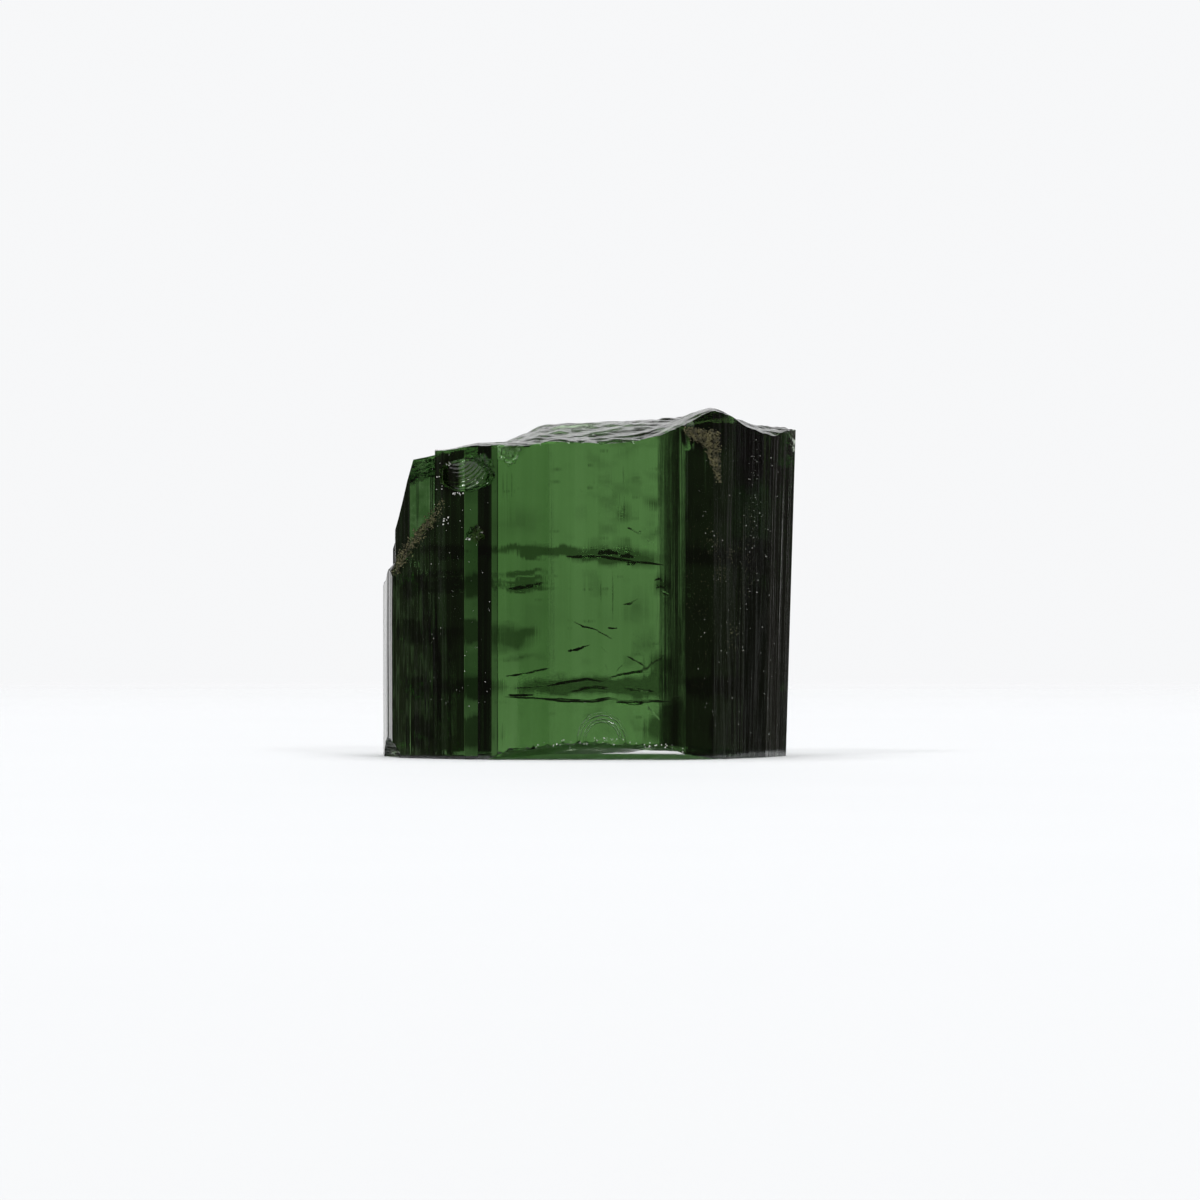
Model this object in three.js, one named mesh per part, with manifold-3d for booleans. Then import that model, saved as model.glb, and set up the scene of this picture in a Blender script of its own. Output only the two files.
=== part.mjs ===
// A green tourmaline crystal: a short length of striated prism, broken across at both ends.
// Millimetres, +Z up along the crystal's long growth axis, +X to the right and +Y away from the viewer.
// The origin is under the middle of the crystal, on the surface that it stands on.
import * as THREE from 'three';
import { mergeVertices } from 'three/addons/utils/BufferGeometryUtils.js';
import Module from 'manifold-3d';

const wasm = await Module();
wasm.setup();

// Driving dimensions: the prism's girth, and the blank that the two breaks are cut from.
const WIDTH = 19.0;
const DEPTH = 13.0;
const BLANK_HEIGHT = 20;
const BLANK_SINK = 2;

// Half sizes that the outline below is drawn in.
const HALF_WIDTH = WIDTH / 2;
const FRONT = -DEPTH / 2;
const BACK = DEPTH / 2;

// The prism's outline seen from above, anticlockwise from the left end of the broad front face.
// Each row is a corner, then how deep the growth ridges are on the face that leaves it.
const PRISM_CORNERS = [
  { x: -4.02, y: FRONT, ridge: 0.012 },
  { x: 4.5, y: FRONT + 0.05, ridge: 0.03 },
  { x: 5.8, y: -5.45, ridge: 0.06 },
  { x: 8.4, y: -1.9, ridge: 0.05 },
  { x: HALF_WIDTH, y: 1.3, ridge: 0.05 },
  { x: 8.8, y: 2.7, ridge: 0.05 },
  { x: 6.1, y: 3.5, ridge: 0.04 },
  { x: 3.55, y: BACK - 1.3, ridge: 0.012 },
  { x: -1.8, y: BACK - 0.8, ridge: 0 },
  { x: -1.8, y: BACK, ridge: 0.012 },
  { x: -6.0, y: BACK - 0.15, ridge: 0.03 },
  { x: -6.75, y: 5.2, ridge: 0.02 },
  { x: -8.4, y: 4.75, ridge: 0.05 },
  { x: -9.3, y: 2.6, ridge: 0.04 },
  { x: -HALF_WIDTH, y: 1.2, ridge: 0.015 },
  { x: -8.95, y: -2.3, ridge: 0.06 },
  { x: -6.35, y: -4.9, ridge: 0 },
];

// Growth terraces that step down from the front face to the left flank: a riser, a tread, and so on.
const TERRACES = [
  { x: -5.57, y: -5.52, ridge: 0 },
  { x: -4.96, y: -5.56, ridge: 0 },
  { x: -4.32, y: -6.16, ridge: 0 },
  { x: -4.07, y: -6.18, ridge: 0 },
];
const RIDGE_PITCH = 0.55;

// How far the right end leans out for each millimetre of height, and where that lean begins.
const RIGHT_LEAN = { slope: 0.03, from: 5.8, level: 7 };

// The upper break: a plane that rises to the right and to the back, with a crest on its right.
const UPPER = {
  level: 14.55,
  riseRight: 0.08,
  riseBack: 0.088,
  crest: { at: 5.8, height: 0.85, spread: 1.5 },
  fallRight: 0.2,
  fallBackLeft: { from: -2.2, slope: 0.4 },
  hackle: 0.09,
};

// The lower break: an arch between two front feet that closes towards a foot along the back.
const LOWER = {
  arch: { at: 0.8, halfSpan: 5.9, height: 1.0 },
  backClosure: 0.9,
  backFoot: { at: -3.5, rise: 0.05 },
  footSink: 0.2,
  hackle: 0.07,
};
const BREAK_GRID = 0.6;

// The layer that broke away from the upper left: its inner wall, and the slope that it left.
const LEDGE_WALL = [
  [-11, -8],
  [-6.85, -8],
  [-7.0, -2.75],
  [-8.15, -2.55],
  [-8.85, -1.6],
  [-8.95, 3.0],
  [-11, 3.4],
];
const LEDGE = { x: -8.8, z: 8.45, slope: 1.36, tilt: { slope: 0.6, from: -11.25, most: 0.5 }, hackle: 0.12 };

// The steeper break above that slope: a point on it, how steeply it leans in, and how high it goes.
const LEAN = { x: -8.95, z: 10.2, slope: 3.6, most: 18 };

// Shell-shaped chips: the middle of each one, its half sizes and its turn in degrees about the vertical,
// the way towards the blow that struck it, and the ripples that spread from that blow.
const CHIPS = [
  { at: [-5.9, -5.7, 13], half: [1.9, 1, 1.03], turn: -35, blow: [-0.5, 0.1, 0.9], rings: 5, ripple: 0.02 },
  { at: [0.73, -8.38, 0.8], half: [4.1, 2, 4.7] },
  { at: [-3.45, -6.75, 14.0], half: [0.62, 0.6, 0.65] },
  { at: [-5.05, -5.75, 10.3], half: [0.42, 0.4, 0.36] },
  { at: [5.2, -6.9, 14.9], half: [1.1, 0.8, 1.6] },
  { at: [9.75, 0.4, 8.6], half: [0.4, 0.9, 0.3] },
  { at: [-9.6, -1.4, -0.1], half: [1.3, 2, 1.1], blow: [-0.3, 0, -1], rings: 5, ripple: 0.02 },
  { at: [8.3, 3.5, 15.4], half: [1.7, 1.5, 1.6], blow: [0.4, 0.3, 1], rings: 5, ripple: 0.02 },
];

// The spall that split off the lower left of the back: its outline as x and z below its top, how high
// that top is, how fast the spall deepens downwards, and how thick it was.
const SPALL = {
  outline: [
    [-7.5, 0],
    [-7.5, -14],
    [-3.2, -14],
    [-3.2, -6.7],
    [-4.05, -2.5],
  ],
  top: 11,
  slope: 0.155,
  thickness: 4,
};

const GREEN = 0x2f5a2a;

// A closed geometry as a solid that can be cut.
function solidFrom(geometry) {
  const bare = geometry.clone();
  bare.deleteAttribute('normal');
  bare.deleteAttribute('uv');
  const merged = mergeVertices(bare);
  return new wasm.Manifold(
    new wasm.Mesh({
      numProp: 3,
      vertProperties: new Float32Array(merged.attributes.position.array),
      triVerts: new Uint32Array(merged.index.array),
    }),
  );
}

// A cut solid back as a geometry.
function geometryFrom(solid) {
  const { vertProperties, triVerts } = solid.getMesh();
  const geometry = new THREE.BufferGeometry();
  geometry.setAttribute('position', new THREE.BufferAttribute(vertProperties, 3));
  geometry.setIndex(new THREE.BufferAttribute(triVerts, 1));
  return geometry;
}

// A number from -1 to 1 that looks random but is the same on every run.
function scatter(n) {
  const wave = Math.sin(n * 12.9898 + 4.1414) * 43758.5453;
  return 2 * (wave - Math.floor(wave)) - 1;
}

// The unevenness of a broken surface: a broad swell, a cross ripple and a set of sharp crests.
function hackle(x, y) {
  const swell = Math.sin(0.55 * x + 0.4 * y + 0.4);
  const cross = Math.sin(1.15 * y - 0.7 * x + 1.9 + swell);
  const crests = 1 - 2 * Math.abs(Math.sin(0.8 * x - 0.5 * y + 0.8 + 0.6 * cross));
  return swell + 0.6 * cross + 0.8 * crests;
}

function backShare(y) {
  return THREE.MathUtils.smoothstep(y, FRONT, BACK);
}

// Height of the upper break above a point.
function upperBreak(x, y) {
  const plane = UPPER.level + UPPER.riseRight * x + UPPER.riseBack * (y - FRONT);
  const { at, height, spread } = UPPER.crest;
  const crest = height * Math.exp(-(((x - at) / spread) ** 2)) * (1 - backShare(y));
  const fall = UPPER.fallRight * Math.max(0, x - at);
  const { from, slope } = UPPER.fallBackLeft;
  const fallBack = slope * Math.max(0, from - x) * backShare(y);
  return plane + crest - fall - fallBack + UPPER.hackle * hackle(x, y);
}

// Height of the lower break above a point: never below the surface that the crystal stands on.
function lowerBreak(x, y) {
  const { at, halfSpan, height } = LOWER.arch;
  const arch = height * (1 - ((x - at) / halfSpan) ** 2);
  const closing = 1 - LOWER.backClosure * backShare(y);
  const backRise = LOWER.backFoot.rise * Math.abs(x - LOWER.backFoot.at) * backShare(y);
  const raw = arch * closing + backRise - LOWER.footSink + LOWER.hackle * hackle(y, x);
  return Math.max(0, raw);
}

// Height of the slope that the lost layer left on the upper left.
function ledgeSlope(x, y) {
  const { slope, from, most } = LEDGE.tilt;
  const tilt = THREE.MathUtils.clamp(slope * (x + y - from), 0, most);
  return LEDGE.z + LEDGE.slope * (x - LEDGE.x) + tilt + LEDGE.hackle * hackle(2 * x, 1.6 * y);
}

// Height of the steeper break above that slope.
function leaningBreak(x, y) {
  const lean = LEAN.z + LEAN.slope * (x - LEAN.x) + LEDGE.hackle * hackle(x, 2 * y);
  return Math.min(Math.max(lean, ledgeSlope(x, y)), LEAN.most);
}

// The block of space above or below a broken surface, as a solid to cut with.
function spaceBeyond(surface, side) {
  const span = [WIDTH + 6, DEPTH + 6];
  const cells = span.map((length) => Math.round(length / BREAK_GRID));
  const block = new THREE.BoxGeometry(...span, BLANK_HEIGHT, ...cells, 1);
  const position = block.attributes.position;
  for (let i = 0; i < position.count; i++) {
    const onSurface = Math.sign(position.getZ(i)) !== side;
    const far = side > 0 ? BLANK_HEIGHT * 2 : -BLANK_HEIGHT;
    position.setZ(i, onSurface ? surface(position.getX(i), position.getY(i)) : far);
  }
  return solidFrom(block);
}

// The prism's outline with growth ridges along each face.
function striatedOutline() {
  const corners = [...PRISM_CORNERS, ...TERRACES];
  const outline = [];
  corners.forEach((corner, i) => {
    const next = corners[(i + 1) % corners.length];
    const start = new THREE.Vector2(corner.x, corner.y);
    const end = new THREE.Vector2(next.x, next.y);
    const along = end.clone().sub(start);
    const inward = new THREE.Vector2(-along.y, along.x).normalize();
    const strips = corner.ridge > 0 ? Math.max(2, Math.round(along.length() / RIDGE_PITCH)) : 1;
    outline.push(start);
    for (let strip = 1; strip < strips; strip++) {
      const shift = 0.3 * scatter(31 * i + strip);
      const point = start.clone().addScaledVector(along, (strip + shift) / strips);
      const depth = corner.ridge * (1 + scatter(57 * i + 3 * strip));
      outline.push(point.addScaledVector(inward, depth));
    }
  });
  return outline;
}

function prism() {
  const shape = new THREE.Shape(striatedOutline());
  const blank = new THREE.ExtrudeGeometry(shape, { depth: BLANK_HEIGHT, bevelEnabled: false });
  blank.translate(0, 0, -BLANK_SINK);
  const position = blank.attributes.position;
  for (let i = 0; i < position.count; i++) {
    const share = THREE.MathUtils.smoothstep(position.getX(i), RIGHT_LEAN.from, HALF_WIDTH);
    const lean = RIGHT_LEAN.slope * (position.getZ(i) - RIGHT_LEAN.level) * share;
    position.setX(i, position.getX(i) + lean);
  }
  return solidFrom(blank);
}

// The spall that split off the lower left of the back, hinged at its top.
function spall() {
  const shape = new THREE.Shape(SPALL.outline.map(([x, z]) => new THREE.Vector2(x, z)));
  const slab = new THREE.ExtrudeGeometry(shape, { depth: SPALL.thickness, bevelEnabled: false });
  slab.rotateX(Math.PI / 2);
  slab.translate(0, SPALL.thickness, 0);
  slab.rotateX(-Math.atan(SPALL.slope));
  return solidFrom(slab.translate(0, BACK, SPALL.top));
}

// The layer that broke away from the upper left.
function lostLayer() {
  const shape = new THREE.Shape(LEDGE_WALL.map(([x, y]) => new THREE.Vector2(x, y)));
  const wall = new THREE.ExtrudeGeometry(shape, { depth: BLANK_HEIGHT * 2, bevelEnabled: false });
  return solidFrom(wall).intersect(spaceBeyond(ledgeSlope, 1));
}

// One shell-shaped chip: an ellipsoid with ripples that spread round the side that the blow came from.
function chip({ at, half, turn = 0, blow = [0, 0, 1], rings = 0, ripple = 0 }) {
  const shell = new THREE.SphereGeometry(1, 28, 24);
  const position = shell.attributes.position;
  const towardsBlow = new THREE.Vector3(...blow).normalize();
  const point = new THREE.Vector3();
  for (let i = 0; i < position.count; i++) {
    point.fromBufferAttribute(position, i);
    const fromBlow = point.angleTo(towardsBlow);
    point.multiplyScalar(1 + ripple * Math.sin(2 * rings * fromBlow));
    position.setXYZ(i, point.x, point.y, point.z);
  }
  shell.scale(...half);
  shell.rotateZ(THREE.MathUtils.degToRad(turn));
  shell.translate(...at);
  return solidFrom(shell);
}

function crystalGeometry() {
  const breaks = [spaceBeyond(upperBreak, 1), spaceBeyond(lowerBreak, -1), spaceBeyond(leaningBreak, 1)];
  const cuts = [...breaks, lostLayer(), spall(), ...CHIPS.map(chip)];
  const solid = cuts.reduce((left, cut) => left.subtract(cut), prism());
  const geometry = geometryFrom(solid);
  geometry.computeBoundingBox();
  const middle = geometry.boundingBox.getCenter(new THREE.Vector3());
  return geometry.translate(-middle.x, -middle.y, -geometry.boundingBox.min.z);
}

const crystal = new THREE.Mesh(
  crystalGeometry(),
  new THREE.MeshStandardMaterial({ color: GREEN, roughness: 0.18, metalness: 0 }),
);
crystal.name = 'tourmaline_crystal';

const group = new THREE.Group();
group.add(crystal);

export default group;
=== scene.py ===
"""A green tourmaline crystal, a striated prism broken across at both ends, on a pale studio floor.

The crystal is drawn in millimetres, as its solid is, and turned into metres when it is dressed.
"""
import logging
import math
from collections.abc import Callable
from dataclasses import dataclass, field
from enum import Enum

import bmesh
import bpy
import numpy as np
from mathutils import Matrix, Vector
from mathutils.bvhtree import BVHTree


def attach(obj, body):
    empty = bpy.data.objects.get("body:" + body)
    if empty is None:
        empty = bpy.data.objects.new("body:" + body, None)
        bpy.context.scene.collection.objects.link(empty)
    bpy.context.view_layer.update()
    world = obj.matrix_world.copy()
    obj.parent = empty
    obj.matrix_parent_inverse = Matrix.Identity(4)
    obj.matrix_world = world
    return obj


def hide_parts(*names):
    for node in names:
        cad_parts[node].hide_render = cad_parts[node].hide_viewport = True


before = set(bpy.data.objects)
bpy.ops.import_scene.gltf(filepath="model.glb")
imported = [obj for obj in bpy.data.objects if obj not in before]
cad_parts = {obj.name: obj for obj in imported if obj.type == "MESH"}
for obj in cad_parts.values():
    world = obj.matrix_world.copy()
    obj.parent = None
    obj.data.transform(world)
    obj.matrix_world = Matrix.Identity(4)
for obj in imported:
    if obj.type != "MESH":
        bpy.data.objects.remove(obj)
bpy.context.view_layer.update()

NODE = "tourmaline_crystal"
BODY = "root"
MM = 0.001

logging.basicConfig(level=logging.INFO, format="%(name)s: %(message)s")
log = logging.getLogger("tourmaline")

Array = np.ndarray
Point = tuple[float, float]
Place = tuple[float, float, float]
Span = tuple[float, float, float, float]
Colour = tuple[float, float, float, float]
Surface = Callable[[Array, Array], Array]
Socket = bpy.types.NodeSocket
Value = float | Socket

WHITE: Colour = (1.0, 1.0, 1.0, 1.0)


class Side(Enum):
    """Which way the open space lies from a broken surface."""

    ABOVE = 40.0
    BELOW = -40.0


class Cut(Enum):
    """What is kept of one solid where another meets it."""

    AWAY = "DIFFERENCE"
    SHARED = "INTERSECT"


class Grain:
    """Seeded lattice noise from -1 to 1, the same on every run."""

    CELLS = 256

    def __init__(self, seed: int) -> None:
        """Draws the lattice.

        Args:
            seed: Number that fixes the lattice.
        """
        self.table: Array = np.random.default_rng(seed).uniform(-1.0, 1.0, (self.CELLS, self.CELLS))

    def at(self, u: Array, v: Array, smooth: bool = True) -> Array:
        """Reads the noise.

        Args:
            u: First coordinate, in lattice cells.
            v: Second coordinate, in lattice cells.
            smooth: Whether cells blend in a curve or in a straight line.

        Returns:
            The noise at each point.
        """
        u, v = np.broadcast_arrays(np.asarray(u, float), np.asarray(v, float))
        iu, iv = np.floor(u).astype(int), np.floor(v).astype(int)
        fu, fv = u - iu, v - iv
        if smooth:
            fu, fv = fu * fu * (3 - 2 * fu), fv * fv * (3 - 2 * fv)
        a, b = iu % self.CELLS, iv % self.CELLS
        c, d = (iu + 1) % self.CELLS, (iv + 1) % self.CELLS
        low = self.table[a, b] * (1 - fu) + self.table[c, b] * fu
        high = self.table[a, d] * (1 - fu) + self.table[c, d] * fu
        return low * (1 - fv) + high * fv

    def layered(self, u: Array, v: Array, octaves: int = 3) -> Array:
        """Adds finer and fainter layers of the noise.

        Args:
            u: First coordinate, in cells of the broadest layer.
            v: Second coordinate, in cells of the broadest layer.
            octaves: How many layers.

        Returns:
            The summed noise at each point.
        """
        return sum(self.at(u * 2**k + 17 * k, v * 2**k + 31 * k) / 2**k for k in range(octaves))


def smoothstep(x: Array, low: float, high: float) -> Array:
    """Returns 0 below low, 1 above high and a smooth rise between them."""
    t = np.clip((np.asarray(x, float) - low) / (high - low), 0.0, 1.0)
    return t * t * (3 - 2 * t)


def grid_faces(rows: int, columns: int, wrap: bool = False) -> list[tuple[int, ...]]:
    """Lists the quads of a grid of points.

    Args:
        rows: Points up the grid.
        columns: Points across it.
        wrap: Whether the last column joins the first.

    Returns:
        The quads, as point indices.
    """
    across = columns if wrap else columns - 1
    r, c = np.meshgrid(np.arange(rows - 1), np.arange(across), indexing="ij")
    n = (c + 1) % columns
    low, high = r * columns, (r + 1) * columns
    quads = np.stack([low + c, low + n, high + n, high + c], axis=-1)
    return [tuple(quad) for quad in quads.reshape(-1, 4).tolist()]


def grid_border(rows: int, columns: int) -> list[int]:
    """Lists the points round a grid, anticlockwise.

    Args:
        rows: Points up the grid.
        columns: Points across it.

    Returns:
        The points' indices.
    """
    low = list(range(columns))
    right = [r * columns + columns - 1 for r in range(1, rows)]
    high = [(rows - 1) * columns + c for c in range(columns - 2, -1, -1)]
    left = [r * columns for r in range(rows - 2, 0, -1)]
    return low + right + high + left


@dataclass
class MeshData:
    """Points and faces of one closed shape."""

    points: Array
    faces: list[tuple[int, ...]]

    @staticmethod
    def column(rings: list[Array], heights: list[float]) -> "MeshData":
        """Makes a closed column through outlines at rising heights.

        Args:
            rings: The outlines, anticlockwise, with as many points each.
            heights: Their heights.

        Returns:
            The column.
        """
        count = len(rings[0])
        layers = [np.column_stack([ring, np.full(count, z)]) for ring, z in zip(rings, heights)]
        faces = grid_faces(len(rings), count, wrap=True)
        last = (len(rings) - 1) * count
        faces.append(tuple(range(count - 1, -1, -1)))
        faces.append(tuple(range(last, last + count)))
        return MeshData(np.concatenate(layers), faces)

    @staticmethod
    def beyond(surface: Surface, side: Side, span: Span, pitch: float) -> "MeshData":
        """Makes the space above or below a surface, as a solid to cut with.

        Args:
            surface: Gives the height over x and y.
            side: Which way the space lies.
            span: Least x, greatest x, least y and greatest y.
            pitch: Size of the surface's cells.

        Returns:
            The space.
        """
        x0, x1, y0, y1 = span
        columns, rows = round((x1 - x0) / pitch) + 1, round((y1 - y0) / pitch) + 1
        across, along = np.linspace(x0, x1, columns), np.linspace(y0, y1, rows)
        y, x = np.meshgrid(along, across, indexing="ij")
        near = np.column_stack([x.ravel(), y.ravel(), surface(x, y).ravel()])
        edge = grid_border(rows, columns)
        rim = near[edge].copy()
        rim[:, 2] = side.value
        faces = grid_faces(rows, columns)
        offset = len(near)
        for k in range(len(edge)):
            n = (k + 1) % len(edge)
            faces.append((edge[n], edge[k], offset + k, offset + n))
        faces.append(tuple(offset + k for k in range(len(edge) - 1, -1, -1)))
        made = MeshData(np.concatenate([near, rim]), faces)
        return made.turned_out() if side is Side.ABOVE else made

    @staticmethod
    def together(shapes: list["MeshData"]) -> "MeshData":
        """Joins several shapes into one.

        Args:
            shapes: The shapes.

        Returns:
            The joined shape.
        """
        points = np.concatenate([shape.points for shape in shapes])
        faces = []
        offset = 0
        for shape in shapes:
            faces += [tuple(i + offset for i in face) for face in shape.faces]
            offset += len(shape.points)
        return MeshData(points, faces)

    def turned_out(self) -> "MeshData":
        """Returns the shape with its faces turned the other way."""
        return MeshData(self.points, [face[::-1] for face in self.faces])

    def to_object(self, name: str) -> bpy.types.Object:
        """Makes an object of the shape.

        Args:
            name: The object's name.

        Returns:
            The object, linked to the scene.
        """
        mesh = bpy.data.meshes.new(name)
        mesh.from_pydata(self.points.tolist(), [], self.faces)
        mesh.validate()
        made = bpy.data.objects.new(name, mesh)
        bpy.context.scene.collection.objects.link(made)
        return made


def drop(used: bpy.types.Object) -> None:
    """Removes an object and its mesh.

    Args:
        used: The object.
    """
    mesh = used.data
    bpy.data.objects.remove(used)
    bpy.data.meshes.remove(mesh)


def cut(body: bpy.types.Object, cutter: bpy.types.Object, kept: Cut = Cut.AWAY) -> None:
    """Cuts one solid with another and drops the cutter.

    Args:
        body: The solid to cut.
        cutter: What cuts it.
        kept: What is kept of the solid.
    """
    modifier = body.modifiers.new("cut", "BOOLEAN")
    modifier.operation = kept.value
    modifier.solver = "MANIFOLD"
    modifier.object = cutter
    bpy.context.view_layer.update()
    evaluated = body.evaluated_get(bpy.context.evaluated_depsgraph_get())
    result = bpy.data.meshes.new_from_object(evaluated)
    body.modifiers.remove(modifier)
    old = body.data
    body.data = result
    bpy.data.meshes.remove(old)
    drop(cutter)


@dataclass(frozen=True)
class Corner:
    """A corner of the prism's outline and the depth of the growth ridges on the face that leaves it."""

    x: float
    y: float
    ridge: float


@dataclass
class Prism:
    """The striated prism before anything broke off it, in millimetres."""

    grain: Grain
    width: float = 19.0
    depth: float = 13.0
    blank_low: float = -2.0
    blank_high: float = 18.0
    rows: int = 26
    column_pitch: float = 0.05
    lean_slope: float = 0.03
    lean_from: float = 5.8
    lean_level: float = 7.0
    lane_shift: float = 13.7
    edge_fade: float = 0.12

    @property
    def front(self) -> float:
        """Returns where the front face lies."""
        return -self.depth / 2

    @property
    def back(self) -> float:
        """Returns where the back face lies."""
        return self.depth / 2

    def corners(self) -> list[Corner]:
        """Lists the outline's corners.

        Returns:
            The corners, anticlockwise from the left end of the broad front face.
        """
        half_width = self.width / 2
        return [
            Corner(-4.02, self.front, 0.010),
            Corner(4.5, self.front + 0.05, 0.025),
            Corner(5.8, -5.45, 0.05),
            Corner(8.4, -1.9, 0.045),
            Corner(half_width, 1.3, 0.05),
            Corner(8.8, 2.7, 0.035),
            Corner(6.1, 3.5, 0.02),
            Corner(3.7, 4.95, 0.0),
            Corner(3.35, 5.15, 0.0),
            Corner(3.05, 5.24, 0.010),
            Corner(-1.8, self.back - 0.8, 0.004),
            Corner(-1.8, self.back, 0.012),
            Corner(-6.0, self.back - 0.15, 0.04),
            Corner(-6.75, 5.2, 0.04),
            Corner(-8.4, 4.75, 0.05),
            Corner(-9.3, 2.6, 0.05),
            Corner(-half_width, 1.2, 0.02),
            Corner(-9.277, -0.6, 0.02),
            Corner(-8.95, -2.3, 0.035),
            Corner(-6.35, -4.9, 0.015),
            Corner(-5.57, -5.52, 0.006),
            Corner(-4.96, -5.56, 0.010),
            Corner(-4.32, -6.16, 0.004),
            Corner(-4.07, -6.18, 0.002),
        ]

    def striae(self, along: Array, z: float, face: int, length: float) -> Array:
        """Gives how deep the growth ridges cut a face.

        Args:
            along: Distances along the face from its first corner.
            z: Height.
            face: The face's place in the outline.
            length: The face's width.

        Returns:
            The depths, as shares of the face's ridge depth.
        """
        lane = self.lane_shift * face
        broad = self.grain.at(along / 0.55 + lane, z / 9 + lane, smooth=False)
        middle = self.grain.at(along / 0.21 + 3 * lane, z / 6 + lane, smooth=False)
        fine = self.grain.at(along / 0.09 + 7 * lane, z / 4 + lane, smooth=False)
        edge = np.minimum(1.0, np.minimum(along, length - along) / self.edge_fade)
        return edge * (0.5 * broad + 0.32 * middle + 0.18 * fine)

    def outline(self, corners: list[Corner], z: float) -> Array:
        """Gives a striated outline at one height.

        Args:
            corners: The outline's corners, anticlockwise.
            z: Height.

        Returns:
            The outline's points, one row each.
        """
        points = []
        for face, (start, end) in enumerate(zip(corners, corners[1:] + corners[:1])):
            a, b = np.array((start.x, start.y)), np.array((end.x, end.y))
            length = float(np.linalg.norm(b - a))
            steps = max(1, round(length / self.column_pitch))
            along = np.linspace(0, length, steps, endpoint=False)
            inward = np.array((a[1] - b[1], b[0] - a[0])) / length
            depth = start.ridge * self.striae(along, z, face, length)
            points.append(a + np.outer(along / length, b - a) + np.outer(depth, inward))
        ring = np.concatenate(points)
        share = smoothstep(ring[:, 0], self.lean_from, self.width / 2)
        ring[:, 0] += self.lean_slope * (z - self.lean_level) * share
        return ring

    def build(self) -> bpy.types.Object:
        """Makes the prism.

        Returns:
            The prism's object.
        """
        heights = np.linspace(self.blank_low, self.blank_high, self.rows).tolist()
        rings = [self.outline(self.corners(), z) for z in heights]
        return MeshData.column(rings, heights).to_object("prism")


@dataclass
class Breakage:
    """What all the breaks share: their noise, and the front and back that they run between."""

    grain: Grain
    front: float
    back: float
    nick_reach: float = 0.55
    nick_size: float = 0.26
    nick_least: float = 0.15

    def hackle(self, x: Array, y: Array) -> Array:
        """Gives the unevenness of a break: a broad swell, a cross ripple and sharp crests.

        Args:
            x: Places across.
            y: Places from front to back.

        Returns:
            The unevenness, from about -2.4 to 2.4.
        """
        swell = np.sin(0.55 * x + 0.4 * y + 0.4)
        cross = np.sin(1.15 * y - 0.7 * x + 1.9 + swell)
        crests = 1 - 2 * np.abs(np.sin(0.8 * x - 0.5 * y + 0.8 + 0.6 * cross))
        return swell + 0.6 * cross + 0.8 * crests

    def back_share(self, y: Array) -> Array:
        """Returns 0 at the front face and 1 at the back."""
        return smoothstep(y, self.front, self.back)

    def nicks(self, x: Array, y: Array) -> Array:
        """Gives the small nicks along the front edges.

        Args:
            x: Places across.
            y: Places from front to back.

        Returns:
            The nicks' depths, from 0 to about 1.
        """
        near = 1 - smoothstep(y, self.front, self.front + self.nick_reach)
        rough = self.grain.layered(x / self.nick_size, y / self.nick_size, 3)
        return near * np.maximum(0.0, rough - self.nick_least)


@dataclass
class UpperBreak:
    """The break across the top: a plane that rises to the right and the back, with a crest on its right."""

    breakage: Breakage
    level: float = 14.55
    rise_right: float = 0.08
    rise_back: float = 0.088
    crest_x: float = 5.8
    crest_height: float = 0.85
    crest_spread: float = 1.5
    fall_right: float = 0.2
    fall_back: float = 0.4
    fall_back_from: float = -2.2
    hackle: float = 0.09
    fine: float = 0.06
    nick: float = 0.14
    span: Span = (-12.0, 12.0, -8.5, 8.5)
    pitch: float = 0.11

    def height(self, x: Array, y: Array) -> Array:
        """Gives the height of the break.

        Args:
            x: Places across.
            y: Places from front to back.

        Returns:
            The heights.
        """
        share = self.breakage.back_share(y)
        plane = self.level + self.rise_right * x + self.rise_back * (y - self.breakage.front)
        crest = self.crest_height * np.exp(-(((x - self.crest_x) / self.crest_spread) ** 2))
        fall = self.fall_right * np.maximum(0, x - self.crest_x)
        fall_back = self.fall_back * np.maximum(0, self.fall_back_from - x) * share
        fine = self.fine * self.breakage.grain.layered(x * 0.8, y * 1.4, 5)
        rough = self.hackle * self.breakage.hackle(x, y) + fine
        nicks = self.nick * self.breakage.nicks(x, y)
        return plane + crest * (1 - share) - fall - fall_back + rough - nicks

    def build(self) -> bpy.types.Object:
        """Returns the space above the break."""
        return MeshData.beyond(self.height, Side.ABOVE, self.span, self.pitch).to_object("upper")


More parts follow.
